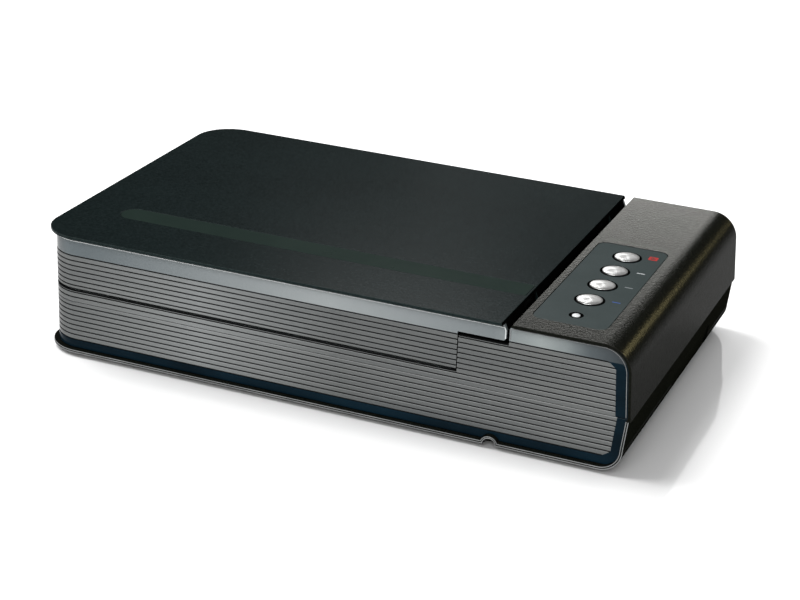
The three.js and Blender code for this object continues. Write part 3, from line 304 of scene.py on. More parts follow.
def sheet(path, thickness):
    """Outline of a sheet with the path as its outer side."""
    return path + offset_path(path, thickness)[::-1]


# ---------- outlines

def plate_outline(inset, right, steps=ARC_STEPS):
    """The plates' plan: straight at the right, two round corners at the left."""
    r = PLATE_CORNER - inset
    left, back = -HALF_W + inset, HALF_D - inset
    return (
        [(right, -back), (right, back)]
        + arc(left + r, back - r, r, 90, 180, steps)
        + arc(left + r, -back + r, r, 180, 270, steps)
    )


def cover_path():
    """The control cover's outside in x and z, from the slit over the top to the seam."""
    corner = arc(TOP_CORNER_X, TOP - TOP_CORNER, TOP_CORNER, 90, 0, ARC_STEPS)
    foot, seam_half = DECK_TOP + 0.4, 0.12
    start = [(COVER_LEFT, foot), (COVER_LEFT, COVER_CHAMFER_Z), (COVER_TOP_LEFT, TOP)]
    return start + corner + [(HALF_W, SEAM + seam_half)]


def lower_path():
    """The lower case's outside in x and z, from the seam down and along the bottom."""
    corner = arc(BOTTOM_CORNER_X, BOTTOM + BOTTOM_CORNER, BOTTOM_CORNER, 0, -90, ARC_STEPS)
    return [(LOWER_RIGHT, SEAM - GAP)] + corner + [(-HALF_W, BOTTOM)]


def shell_inside(z):
    """How far right the side walls reach at a height: the inner face of the wrap-round shell."""
    if z > TOP - TOP_CORNER:
        reach = TOP_CORNER - SKIN - HAIR
        rise = min(z - (TOP - TOP_CORNER), reach)
        return TOP_CORNER_X + sqrt(reach * reach - rise * rise)
    if z < BOTTOM + BOTTOM_CORNER:
        reach = BOTTOM_CORNER - SKIN - HAIR
        drop = min(BOTTOM + BOTTOM_CORNER - z, reach)
        return BOTTOM_CORNER_X + sqrt(reach * reach - drop * drop)
    if z > SEAM:
        share = (z - SEAM) / (TOP - TOP_CORNER - SEAM)
        return HALF_W + (TOP_CORNER_X + TOP_CORNER - HALF_W) * share - SKIN - HAIR
    share = (z - BOTTOM - BOTTOM_CORNER) / (SEAM - BOTTOM - BOTTOM_CORNER)
    low = BOTTOM_CORNER_X + BOTTOM_CORNER
    return low + (LOWER_RIGHT - low) * share - SKIN - HAIR


# ---------- ribbed walls

# half profile of one groove: height from its middle, and share of the full depth
GROOVE = [(-0.95, 0.0), (-0.66, 0.05), (-0.46, 0.22), (-0.36, 0.8), (0.0, 1.0),
          (0.36, 0.8), (0.46, 0.22), (0.66, 0.05), (0.95, 0.0)]
LIP, LIP_DEPTH = 0.6, 0.45  # height and depth of the small round on a wall's edges
LIP_KNEE = 0.25  # where it turns most
LID_LIP = 1.1  # the same for the lid's lower edge, where the seam is seen
RUN_OUT = 0.4  # half the length over which a groove runs out at the ribs' right end
DARK_SHARE = 0.5  # deeper than this share, the groove's faces get the dark painted shade


def top_groove(grooves):
    """Height of a wall's uppermost groove."""
    bottom, count = grooves
    return bottom + (count - 1) * RIB_PITCH


def groove_depth(z, grooves):
    """How deep the wall's face lies at a height."""
    bottom, count = grooves
    nearest = round((z - bottom) / RIB_PITCH)
    if not 0 <= nearest < count:
        return 0.0
    away = z - (bottom + nearest * RIB_PITCH)
    for (a, da), (b, db) in zip(GROOVE, GROOVE[1:]):
        if a <= away <= b:
            return GROOVE_DEPTH * (da + (db - da) * (away - a) / (b - a))
    return 0.0


def wall_levels(z0, z1, grooves):
    """Heights of a wall's rows of points: its edges, its grooves and the shell's roundings."""
    bottom, count = grooves
    levels = {z0 + LID_LIP}
    for rise in (0, LIP_KNEE, LIP):
        levels |= {z0 + rise, z1 - rise}
    for i in range(count):
        levels |= {bottom + i * RIB_PITCH + dz for dz, _ in GROOVE}
    corner_steps = 10
    for k in range(corner_steps + 1):
        levels.add(TOP - TOP_CORNER * (1 - k / corner_steps))
        levels.add(BOTTOM + BOTTOM_CORNER * k / corner_steps)
    kept = sorted(z for z in levels if z0 <= z <= z1)
    closest = 0.02
    return [z for i, z in enumerate(kept) if i == 0 or z - kept[i - 1] > closest]


def lip_depth(z, z0, z1):
    """A small round on the wall's upper and lower edges, larger where the lid meets the case."""
    edge = min(z - z0, z1 - z)
    small = LIP_DEPTH * max(0.0, 1 - edge / LIP) ** 2
    if z0 < RIM_TOP:
        return small
    return max(small, LID_LIP * max(0.0, 1 - (z - z0) / LID_LIP) ** 1.5)


def rib_end(z):
    """Right end of the ribs at a height, with the field's two corners cut off slantwise."""
    margin = UPPER_MARGIN if z > SEAM else LOWER_MARGIN
    past_top = z - (top_groove(UPPER_GROOVES) - CORNER_CUT)
    past_bottom = LOWER_GROOVES[0] + CORNER_CUT - z
    return shell_inside(z) - margin - max(0.0, past_top, past_bottom)


def wall_columns(to_shell):
    """Stations along the wall in plan: on a corner or not, y, outward normal, groove share."""
    shares = [0.0, 0.0, 1.0] if to_shell else [1.0]
    stations = [(False, -HALF_D, (0.0, -1.0), share) for share in shares]
    for side, start in ((-1, 270), (1, 180)):
        for k in range(ARC_STEPS + 1):
            a = radians(start - 90 * k / ARC_STEPS)
            corner_y = side * (HALF_D - PLATE_CORNER)
            stations.append((True, corner_y, (cos(a), sin(a)), 1.0))
    return stations + [(False, HALF_D, (0.0, 1.0), share) for share in shares[::-1]]


def ribbed_wall(name, z0, z1, grooves, right_end=None):
    """A wall round three sides. With no right_end it runs to the inner face of the shell."""
    levels = wall_levels(z0, z1, grooves)
    stations = wall_columns(right_end is None)
    last = len(stations) - 1

    def station_point(index, z, inset):
        on_corner, y, normal, _ = stations[index]
        if on_corner:
            r = PLATE_CORNER - inset
            return PLATE_CORNER - HALF_W + r * normal[0], y + r * normal[1]
        if right_end is not None:
            return right_end, y - inset * normal[1]
        stops = [shell_inside(z), rib_end(z) + RUN_OUT, rib_end(z) - RUN_OUT]
        return stops[min(index, last - index)], y - inset * normal[1]

    points, outer, inner = [], [], []
    for index, (_, _, _, share) in enumerate(stations):
        column_out, column_in = [], []
        for z in levels:
            depth = max(groove_depth(z, grooves) * share, lip_depth(z, z0, z1))
            x, y = station_point(index, z, WALL_INSET + depth)
            column_out.append(len(points))
            points.append((x, y, z))
            x, y = station_point(index, z, WALL_INSET + WALL_T)
            column_in.append(len(points))
            points.append((x, y, z))
        outer.append(column_out)
        inner.append(column_in)
    faces = []
    top = len(levels) - 1
    for a in range(last):
        for k in range(top):
            faces.append((outer[a][k], outer[a + 1][k], outer[a + 1][k + 1], outer[a][k + 1]))
            faces.append((inner[a][k], inner[a][k + 1], inner[a + 1][k + 1], inner[a + 1][k]))
        faces.append((outer[a][0], inner[a][0], inner[a + 1][0], outer[a + 1][0]))
        faces.append((outer[a][top], outer[a + 1][top], inner[a + 1][top], inner[a][top]))
    for end in (0, last):
        for k in range(top):
            faces.append((outer[end][k], outer[end][k + 1], inner[end][k + 1], inner[end][k]))
    return mesh_object(name, points, faces)


# ---------- materials

def srgb(r, g, b):
    """A colour from 0..255 screen values."""
    def linear(c):
        c /= 255
        return c / 12.92 if c <= 0.04045 else ((c + 0.055) / 1.055) ** 2.4
    return (linear(r), linear(g), linear(b), 1.0)


def feed(node, inputs):
    """Links sockets to a node's inputs, and sets the others to plain values."""
    for key, value in inputs.items():
        if isinstance(value, bpy.types.NodeSocket):
            node.id_data.links.new(value, node.inputs[key])
        else:
            node.inputs[key].default_value = value


def add_node(tree, kind, inputs=(), **settings):
    made = tree.nodes.new(kind)
    for key, value in settings.items():
        setattr(made, key, value)
    feed(made, dict(inputs))
    return made


class Look:
    """A procedural material in the object's own coordinates. Colours are 0..255 screen values."""

    def __init__(self, name, colour, roughness=0.5, metallic=0.0, specular=0.5):
        self.material = bpy.data.materials.new(name)
        self.material.use_nodes = True
        self.material.diffuse_color = srgb(*colour)
        self.tree = self.material.node_tree
        self.shader = self.tree.nodes["Principled BSDF"]
        feed(self.shader, {"Roughness": roughness, "Metallic": metallic,
                           "Specular IOR Level": specular})
        self.coordinates = self.node("ShaderNodeTexCoord").outputs["Object"]
        self.normal = None
        paint = self.node("ShaderNodeRGB").outputs[0]
        paint.default_value = srgb(*colour)
        self.set_colour(paint)

    def node(self, kind, inputs=(), **settings):
        return add_node(self.tree, kind, inputs, **settings)

    def set_colour(self, socket):
        self.colour = socket
        feed(self.shader, {"Base Color": socket})

    def part(self, vector, axis):
        """One component of a vector."""
        return self.node("ShaderNodeSeparateXYZ", {0: vector}).outputs[axis]

    def maths(self, operation, *terms):
        """One step of arithmetic on sockets and plain numbers."""
        return self.node("ShaderNodeMath", enumerate(terms), operation=operation).outputs[0]

    def facing(self):
        """The surface's own normal, without bumps."""
        return self.node("ShaderNodeNewGeometry").outputs["Normal"]

    def pattern(self, kind, size_mm, inputs=(), **settings):
        """A texture of one size, in the object's coordinates unless told otherwise."""
        usual = {"Vector": self.coordinates, "Scale": 1 / (size_mm * MM)}
        return self.node(kind, usual | dict(inputs), **settings)

    def noise(self, size_mm, detail=3.0, rough=0.55, stretch=(1, 1, 1)):
        place = self.node("ShaderNodeMapping", {"Vector": self.coordinates, "Scale": stretch})
        inputs = {"Vector": place.outputs[0], "Detail": detail, "Roughness": rough}
        return self.pattern("ShaderNodeTexNoise", size_mm, inputs).outputs["Fac"]

    def cells(self, size_mm):
        return self.pattern("ShaderNodeTexVoronoi", size_mm, feature="SMOOTH_F1").outputs["Distance"]

    def ranged(self, socket, low, high, to_low, to_high):
        """A value carried from one range to another, and held at its ends."""
        inputs = {"Value": socket, "From Min": low, "From Max": high,
                  "To Min": to_low, "To Max": to_high}
        return self.node("ShaderNodeMapRange", inputs).outputs[0]

    def blend_in(self, factor, colour):
        inputs = {"Factor": factor, "A": self.colour, "B": srgb(*colour)}
        mix = self.node("ShaderNodeMix", inputs, data_type="RGBA")
        self.set_colour(mix.outputs["Result"])
        return self

    def vary(self, size_mm, colour, share, stretch=(1, 1, 1)):
        """Soft drift of the colour over the surface."""
        drift = self.noise(size_mm, 4, 0.6, stretch)
        return self.blend_in(self.ranged(drift, 0.35, 0.7, 0.0, share), colour)

    def rough_range(self, size_mm, low, high, stretch=(1, 1, 1)):
        source = self.noise(size_mm, 5, 0.6, stretch)
        feed(self.shader, {"Roughness": self.ranged(source, 0.3, 0.7, low, high)})
        return self

    def bump(self, socket, depth_mm, strength):
        inputs = {"Height": socket, "Distance": depth_mm * MM, "Strength": strength}
        if self.normal:
            inputs["Normal"] = self.normal
        self.normal = self.node("ShaderNodeBump", inputs).outputs[0]
        feed(self.shader, {"Normal": self.normal})
        return self

    def grain(self, size_mm, depth_mm, strength, detail=3):
        return self.bump(self.noise(size_mm, detail), depth_mm, strength)

    def sheen_by_tilt(self, *stops):
        """Strength of the reflection from how far the surface faces up: (upward share, level)."""
        upward = self.part(self.facing(), "Z")
        (a, level_a), (b, level_b), (c, level_c) = stops
        low = self.ranged(upward, a, b, level_a, level_b)
        high = self.ranged(upward, b, c, 0.0, level_c - level_b)
        feed(self.shader, {"Specular IOR Level": self.maths("ADD", low, high)})
        return self

    def painted_sheen_x(self, centre, reach, share, colour):
        """A soft patch of another colour across one place along the object, in millimetres, used as a
        painted sheen.
        """
        offset = self.maths("SUBTRACT", self.part(self.coordinates, "X"), centre * MM)
        away = self.maths("ABSOLUTE", offset)
        return self.blend_in(self.ranged(away, 0, reach * MM, share, 0), colour)

    def beyond_x(self, start, end, colour):
        """Another colour to the right of a place, reached in full at the end, in millimetres."""
        along = self.part(self.coordinates, "X")
        return self.blend_in(self.ranged(along, start * MM, end * MM, 0, 1), colour)

    def painted_shade_aslant(self, colour, share):
        """Painted shade: darker where the surface is seen at a glancing angle."""
        view = self.node("ShaderNodeLayerWeight", {"Blend": 0.5})
        return self.blend_in(self.ranged(view.outputs["Facing"], 0.35, 0.85, 0.0, share), colour)

    def lighter_edges(self, colour, share):
        """Lighter along the edges, wherever the surface turns within reach."""
        reach, turned = 0.5 * MM, 0.995
        rounded = self.node("ShaderNodeBevel", {"Radius": reach}, samples=3)
        normals = {0: rounded.outputs[0], 1: self.facing()}
        along = self.node("ShaderNodeVectorMath", normals, operation="DOT_PRODUCT")
        return self.blend_in(self.ranged(along.outputs["Value"], turned, 0.9, 0.0, share), colour)


def shell_look():
    """Spark-textured black moulding. Its reflection weakens the more it faces the floor, as painted
    shade.
    """
    look = Look("textured_black", (9, 10, 8))
    look.vary(60, (13, 14, 11), 0.5).vary(1.4, (40, 42, 36), 0.36)
    look.bump(look.cells(1.5), 0.13, 0.65).grain(0.9, 0.08, 0.6, 2)
    look.rough_range(1.3, 0.17, 0.28).lighter_edges((90, 90, 86), 0.2)
    return look.sheen_by_tilt((-0.1, 0.0), (0.07, 0.0027), (1.0, 0.022))


def ribs_look():
    along_ribs = (0.3, 1, 3)
    look = Look("ribbed_grey", (88, 90, 89), specular=0.5)
    look.vary(50, (70, 73, 74), 0.7, along_ribs).rough_range(5, 0.24, 0.38, along_ribs)
    # painted sheen: lighter across the middle; painted shade: darker where seen aslant
    look.painted_sheen_x(-95, 110, 0.8, (122, 125, 125)).painted_shade_aslant((14, 16, 17), 0.9)
    return look.grain(0.6, 0.02, 0.3).lighter_edges((160, 163, 162), 0.35)


def strip_top_look():
    """The glossy strip above the ribs, a lit copy of the dark strip: pale along its middle from
    painted sheens, darker where seen aslant as painted shade, and dark towards the control end.
    """
    look = Look("gloss_strip_painted_sheen", (82, 90, 93), specular=0.4)
    look.vary(45, (72, 81, 85), 0.6, (0.4, 1, 1)).rough_range(14, 0.1, 0.22)
    look.painted_sheen_x(5, 190, 1.0, (136, 141, 142)).painted_sheen_x(160, 34, 0.6, (152, 159, 157))
    look.painted_shade_aslant((16, 20, 22), 0.8).beyond_x(178, 220, (14, 26, 32))
    return look.grain(5, 0.02, 0.15, 2)


def metal_look():
    """Spun aluminium: its shine runs round the middle of each button."""
    look = Look("spun_aluminium", (236, 236, 234), metallic=1.0)
    turned = look.node("ShaderNodeTangent", direction_type="RADIAL", axis="Z")
    feed(look.shader, {"Anisotropic": 0.7, "Tangent": turned.outputs[0]})
    return look.rough_range(4, 0.28, 0.34).vary(3, (220, 220, 219), 0.5)


def steel_look():
    look = Look("plated_steel", (190, 192, 195), metallic=1.0)
    look.vary(12, (165, 168, 172), 0.6).rough_range(3, 0.22, 0.42, (0.2, 1, 1))
    return look.bump(look.noise(0.7, 3, 0.5, (0.15, 1, 1)), 0.01, 0.25)


def foam_look():
    look = Look("open_foam", (216, 217, 212), 0.9)
    return look.vary(5, (190, 191, 186), 0.7).bump(look.cells(0.7), 0.3, 0.9)


def board_look():
    look = Look("circuit_board", (26, 84, 54))
    tracks = look.pattern("ShaderNodeTexBrick", 14, {"Mortar Size": 0.03})
    look.blend_in(look.ranged(tracks.outputs["Fac"], 0, 1, 0, 0.6), (62, 128, 88))
    return look.vary(8, (20, 64, 42), 0.5).rough_range(3, 0.34, 0.5)


def cable_look():
    look = Look("ribbon_grey", (196, 199, 204), 0.45)
    ridges = look.pattern("ShaderNodeTexWave", 4, bands_direction="Y")
    return look.bump(ridges.outputs["Fac"], 0.15, 0.7).vary(10, (176, 180, 186), 0.4)


def glass_look():
    look = Look("platen_glass_clear", (236, 246, 242))
    feed(look.shader, {"Transmission Weight": 0.96, "IOR": 1.3})
    return look.rough_range(60, 0.01, 0.03)


# a CAD node that stays has the look named after its slot in the record
LOOKS = {
    "shell": shell_look(), "ribs": ribs_look(), "strip_top": strip_top_look(),
    "metal": metal_look(), "steel": steel_look(), "foam": foam_look(), "board_green": board_look(),
    "cable_grey": cable_look(), "glass": glass_look(),
    # gap: near-black painted shade, put on slits, recess walls and the rings round buttons
    "gap": Look("gap_painted_shade", (4, 4, 4), 0.7, specular=0.0).vary(12, (9, 9, 9), 0.5)
    .grain(0.6, 0.03, 0.3, 2),
    "lid": Look("lid_black", (13, 22, 22), specular=0.045).vary(90, (20, 31, 31), 0.5)
    .vary(1.8, (48, 58, 59), 0.3).grain(1.4, 0.08, 0.5).rough_range(0.9, 0.2, 0.27)
    .lighter_edges((104, 112, 110), 0.3),
    "inlay": Look("inlay_black", (34, 46, 42), specular=0.012).vary(40, (40, 52, 47), 0.6)
    .rough_range(30, 0.26, 0.36).grain(1.2, 0.01, 0.2),
    # groove: painted shade on the grooves' deep faces and on faces seen through the seam
    "groove": Look("groove_painted_shade", (14, 15, 16), specular=0.2).vary(20, (22, 23, 24), 0.5)
    .rough_range(3, 0.45, 0.6),
    "strip": Look("gloss_strip_dark", (8, 20, 27), specular=0.03)
    .vary(35, (16, 38, 50), 0.6, (0.4, 1, 1)).rough_range(14, 0.1, 0.2).grain(5, 0.02, 0.15, 2),
    # bead: painted highlight for the lines on the lid's edge
    "bead": Look("edge_bead_painted_highlight", (226, 228, 228), specular=0.7).vary(20, (206, 210, 211), 0.7)
    .rough_range(4, 0.2, 0.34),
    # lip: painted highlight for the fine lines on the case's edges
    "lip": Look("lip_line_painted_highlight", (134, 136, 136)).vary(16, (92, 94, 95), 0.7)
    .rough_range(4, 0.24, 0.4),
    "overlay": Look("overlay_grey", (64, 73, 73), specular=0.07).vary(30, (54, 63, 63), 0.5)
    .rough_range(1.0, 0.32, 0.44).grain(0.35, 0.02, 0.25, 2),
    "inner_black": Look("inner_black", (20, 21, 21), specular=0.35).vary(25, (29, 30, 30), 0.5)
    .rough_range(2, 0.5, 0.7).grain(0.5, 0.05, 0.4).lighter_edges((64, 64, 64), 0.3),
    # deck: near-black painted shade for the platen deck seen through the seam
    "deck": Look("deck_painted_shade", (12, 12, 12), specular=0.12).vary(25, (18, 18, 18), 0.5)
    .rough_range(2, 0.5, 0.7).grain(0.6, 0.05, 0.4),
    "brass": Look("brass", (196, 162, 92), metallic=1.0).vary(4, (160, 124, 62), 0.5)
    .rough_range(2, 0.2, 0.4),
    "rubber": Look("rubber", (22, 22, 22)).vary(6, (38, 37, 36), 0.6)
    .grain(0.5, 0.08, 0.5, 4).rough_range(2, 0.7, 0.9),
    "white_sheet": Look("white_sheet", (238, 238, 234)).vary(40, (228, 228, 222), 0.5)
    .grain(0.4, 0.02, 0.3, 2).rough_range(4, 0.42, 0.58),
    "pale_plastic": Look("pale_plastic", (226, 223, 212)).vary(9, (206, 202, 190), 0.5)
    .rough_range(2, 0.38, 0.52).grain(0.8, 0.02, 0.3),
    "lamp_white": Look("lamp_glass", (244, 245, 240)).vary(6, (220, 224, 222), 0.5)
    .rough_range(2, 0.12, 0.25),
    "lens": Look("clear_lens", (240, 243, 244)).vary(2, (206, 211, 213), 0.5)
    .rough_range(1, 0.06, 0.2),
    "mirror": Look("mirror_glass", (240, 242, 242), metallic=1.0)
    .vary(30, (226, 230, 230), 0.4).rough_range(10, 0.02, 0.06),
}
for mark_name, mark_colour in (("mark_red", (186, 38, 34)), ("mark_white", (206, 210, 212)),
                               ("mark_grey", (140, 146, 148)), ("mark_blue", (52, 92, 170))):
    deeper = [0.8 * c for c in mark_colour]
    LOOKS[mark_name] = Look(mark_name, mark_colour).vary(0.8, deeper, 0.4).rough_range(0.5, 0.34, 0.5)


def dress(obj, *looks):
    """Gives an object its materials. Its faces show the first one until told otherwise."""
    obj.data.materials.clear()
    for look in looks:
        obj.data.materials.append(LOOKS[look].material)


replaced = set()  # the CAD nodes that the pieces stand for


def fit(obj, look, body, node=None):
    """Gives a finished piece its body and the CAD node it stands for, and a look if it has none."""
    if look:
        dress(obj, look)
    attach(obj, body)
    if node:
        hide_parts(node)
        replaced.add(node)


# ---------- case and lid shells

def drill(obj, centre, radius, sides, low, high):
    """A round hole from one height to another."""
    step = 360 / sides
    hole = arc(*centre, radius, 0, 360 - step, sides - 1)
    combine(obj, prism("hole", hole, "z", low, high))


def rounded_rectangle(x0, x1, y0, y1, r, steps=14):
    return (
        arc(x1 - r, y0 + r, r, -90, 0, steps)
        + arc(x1 - r, y1 - r, r, 0, 90, steps)
        + arc(x0 + r, y1 - r, r, 90, 180, steps)
        + arc(x0 + r, y0 + r, r, 180, 270, steps)
    )


def cut_room(obj, x0, x1, top):
    """Room at both sides for the ends of the ribbed walls."""
    for side in (-1, 1):
        y0, y1 = sorted((side * (HALF_D - WALL_INSET - WALL_T - GAP), side * (HALF_D + PAST)))
        combine(obj, block("room", x0, x1, y0, y1, ROOM_BOTTOM, top))


def cut_lock_slot(case):
    """Slot in the bottom that the transport lock slides in."""
    low, high = box_mm("transport_lock")
    middle_y = (low.y + high.y) / 2
    left, length, half_width = low.x + 2, 20, 3.6
    slot = block("lock_slot", left, left + length, middle_y - half_width, middle_y + half_width,
                 BOTTOM - PAST, BOTTOM + SKIN + PAST)
    combine(case, slot)


def cut_grip(case):
    """Shallow finger recess low on the control end's wall, towards the rear."""
    front, back, depth = -20, 80, 1.2
    z_low, z_high = 13, 27
    x_low, x_high = [shell_inside(z) + SKIN + HAIR for z in (z_low, z_high)]
    outline = [(x_low - depth, z_low), (x_low + 9, z_low - 3), (x_high + 6, z_high),
               (x_high - depth, z_high)]
    combine(case, prism("grip", outline, "y", front, back))


def build_lower_case():
    side = HALF_D - LIP_BACK
    case = prism("case_tray", sheet(lower_path(), SKIN), "y", -side, side)
    plan = plate_outline(LIP_BACK, HALF_W + PAST)
    combine(case, prism("plan", plan, "z", 0, SEAM + PAST), "INTERSECT")
    rim_depth, tunnel_depth = 8, 6
    rim = arc(NOTCH_X, BOTTOM, NOTCH_RIM_R, 0, 180, 24)
    combine(case, prism("rim", rim, "y", -side, -HALF_D + rim_depth), "UNION")
    tunnel = arc(NOTCH_X, BOTTOM, NOTCH_R, -10, 190, 28)
    combine(case, prism("tunnel", tunnel, "y", -HALF_D - PAST, -HALF_D + tunnel_depth))
    cut_lock_slot(case)
    screw_hole, floor_left = 4.4, 0.6
    for i in range(1, 5):
        drill(case, middle_xy(f"case_screw_{i}"), screw_hole, 24, BOTTOM - PAST,
              BOTTOM + SKIN - floor_left)
    cut_grip(case)
    round_edges(case, 0.35)
    fit(case, "shell", "base", "lower_case")


BUTTON_XY = [middle_xy(f"button_{number}") for number in range(1, 5)]
LED_XY = middle_xy("led_lens")
BUTTON_HOLE, LED_HOLE = 9.9, 4.7  # radii
PANEL_DEPTH = 0.6  # of the recess for the panel's sheet
OVERLAY_TOP = TOP - 0.1


def cut_panel_holes(obj):
    low, high = TOP - 5, TOP + PAST
    for place in BUTTON_XY:
        drill(obj, place, BUTTON_HOLE, 60, low, high)
    drill(obj, LED_XY, LED_HOLE, 36, low, high)


def panel_outline(grow, r):
    """The control panel's plan."""
    return rounded_rectangle(overlay_low.x - grow, overlay_high.x + grow,
                             overlay_low.y - grow, overlay_high.y + grow, r)


def build_cover():
    cover = prism("control_shell", sheet(cover_path(), SKIN), "y", -HALF_D, HALF_D)
    recess = prism("recess", panel_outline(GAP, 7), "z", TOP - PANEL_DEPTH, TOP + PAST)
    combine(cover, recess)
    cut_room(cover, COVER_LEFT - PAST, ROOM_RIGHT, TOP - SKIN)
    cut_panel_holes(cover)
    round_edges(cover, 0.45, 3)
    dress(cover, "shell", "gap")
    # the faces beside the lid and the sunk faces round the panel get the gap's painted shade
    reach, sunk = 2 * GAP, TOP - 0.05
    for face in cover.data.polygons:
        centre = face.center / MM
        beside_lid = centre.x < COVER_TOP_LEFT and face.normal.x < -0.5
        in_panel = (overlay_low.x - reach < centre.x < overlay_high.x + reach
                    and overlay_low.y - reach < centre.y < overlay_high.y + reach)
        face.material_index = int(beside_lid or (in_panel and centre.z < sunk))
    fit(cover, None, "base", "control_cover")


def build_overlay():
    overlay = prism("control_overlay", panel_outline(0, 6.7), "z",
                    TOP - PANEL_DEPTH + 0.02, OVERLAY_TOP)
    cut_panel_holes(overlay)
    round_edges(overlay, 0.14)
    fit(overlay, "overlay", "base", "panel_overlay")


def inlay_outline(grow):
    """Plan of the glossy band in the lid: round at the left, straight at the right."""
    r = (inlay_high.y - inlay_low.y) / 2
    y = (inlay_high.y + inlay_low.y) / 2
    right = inlay_high.x + grow
    ends = [(right, y - r - grow), (right, y + r + grow)]
    return ends + arc(inlay_low.x + r, y, r + grow, 90, 270, 32)


def build_lid_cover():
    path = [(-HALF_W, TOP)] + TONGUE_END
    lid = prism("lid_shell", sheet(path, PLATE), "y", -HALF_D, HALF_D)
    plan = prism("plan", plate_outline(0, HALF_W), "z", RIM_TOP, TOP + PAST)
    combine(lid, plan, "INTERSECT")
    depth, clearance = 6, 0.5
    for end in ("front", "rear"):
        low, high = box_mm(f"hinge_bracket_{end}")
        notch = block("notch", LID_RIGHT - depth, LID_RIGHT + PAST, low.y - clearance,
                      high.y + clearance, TONGUE_BOTTOM - PAST, TOP - PLATE)
        combine(lid, notch)
    cut_room(lid, LID_RIGHT - 3 * PLATE, LID_RIGHT + PAST, TOP - PLATE)
    combine(lid, prism("recess", inlay_outline(0.25), "z", TOP - 0.7, TOP + PAST))
    round_edges(lid, 0.4, 3)
    dress(lid, "lid", "gap")
    # the faces beside the case, in the slit, get the gap's painted shade
    for face in lid.data.polygons:
        beside_case = face.center.x / MM > LID_TOP_RIGHT and face.normal.x > 0.5
        face.material_index = int(beside_case)
    fit(lid, None, "lid", "lid_cover")


def build_inlay():
    inlay = prism("lid_band", inlay_outline(0), "z", inlay_low.z, inlay_high.z)
    round_edges(inlay, 0.12)
    fit(inlay, "inlay", "lid", "lid_inlay")


WALL_LOOKS = ("ribs", "strip", "strip_top", "groove")
STRIP_FROM = TOP - 17  # no glossy strip lower than this at the walls' top


def dress_wall(wall, grooves):
    """Satin ribs with grooves darkened as painted shade; glossy above, below and beside them, the
    strip above the ribs lit with painted sheen.
    """
    past_groove, near_side = 0.4, HALF_D - 10
    strip_from = max(STRIP_FROM, top_groove(grooves) + past_groove)
    strip_to = LOWER_GROOVES[0] - past_groove
    dress(wall, *WALL_LOOKS)
    for face in wall.data.polygons:
        centre = face.center / MM
        beside = abs(centre.y) > near_side and centre.x > rib_end(centre.z) + 0.1
        look = "ribs"
        # faces that face straight up or down, such as the rim seen through the seam, get painted
        # shade
        if abs(face.normal.z) > 0.9:
            look = "groove"
        elif centre.z > strip_from:
            look = "strip_top"
        elif centre.z < strip_to or beside:
            look = "strip"
        elif groove_depth(centre.z, grooves) > GROOVE_DEPTH * DARK_SHARE:
            look = "groove"
        face.material_index = WALL_LOOKS.index(look)


def build_lower_wall():
    wall = ribbed_wall("band_lower", wall_low.z, wall_high.z, LOWER_GROOVES)
    clearance, depth = 0.5, 13
    relief = arc(NOTCH_X, BOTTOM, NOTCH_RIM_R + clearance, 0, 180, 24)
    combine(wall, prism("relief", relief, "y", -HALF_D - PAST, -HALF_D + depth))
    return wall


def build_upper_wall():
    """The wall steps up under the lid's tongue and beside the control end."""
    wall = ribbed_wall("band_upper", upper_low.z, upper_high.z, UPPER_GROOVES)
    combine(wall, block("over_glass", -FAR, DECK_STEP_X, -FAR, FAR, RIM_TOP, FAR))
    combine(wall, block("over_deck", -FAR, COVER_LEFT, -FAR, FAR, DECK_TOP, FAR))
    chamfer = [(COVER_LEFT - PAST, COVER_CHAMFER_Z), (COVER_LEFT, COVER_CHAMFER_Z),
               (COVER_TOP_LEFT, TOP), (COVER_LEFT - PAST, TOP)]
    combine(wall, prism("chamfer", chamfer, "y", -FAR, FAR))
    inside = HALF_D - 10
    for node, grow in (("usb_port", 0.6), ("power_jack", 0.5), ("power_rocker", 0.4)):
        low, high = box_mm(node)
        port = block("port", low.x - grow, high.x + grow, inside, HALF_D + PAST,
                     low.z - grow, high.z + grow)
        combine(wall, port)
    return wall


def build_lid_wall():
    wall = ribbed_wall("band_lid", skirt_low.z, skirt_high.z, LID_GROOVES, skirt_high.x)
    combine(wall, block("step", LID_STEP_X, FAR, -FAR, FAR, 0, TONGUE_BOTTOM))
    right, over = LID_RIGHT + 5, TOP + 5
    past_end = [(right, 0), (right, over), (LID_TOP_RIGHT, over)] + TONGUE_END
    past_end.append((LID_RIGHT - TONGUE_CHAMFER, 0))
    combine(wall, prism("past_end", past_end, "y", -FAR, FAR))
    return wall


def build_walls():
    for wall, grooves, body, node in (
        (build_lower_wall(), LOWER_GROOVES, "base", "lower_wall"),
        (build_upper_wall(), UPPER_GROOVES, "base", "upper_wall"),
        (build_lid_wall(), LID_GROOVES, "lid", "lid_skirt"),
    ):
        smooth(wall, 28)
        dress_wall(wall, grooves)
        fit(wall, None, body, node)


# ---------- bright edge lines, painted highlights

BEAD_PROUD = 0.15  # a bead's middle stands out of the walls' faces by this much
BEAD_R, LINE_R = 0.32, 0.3
SEEN_IN = 1.6  # how far inside the shell's lip a bead on the wall has to stand to be seen
SEEN_DOWN = 1.85


def band_bead(name, points, body, radius, look):
    bead = tube(name, points, radius)
    smooth(bead, 60)
    fit(bead, look, body)


def bead_round_plan(z, right, inset):
    """A bead's line round the rear, the left end and the front, at one height."""
    front, rear, *around = plate_outline(inset, right)
    return [(x, y, z) for x, y in [rear] + around + [front]]


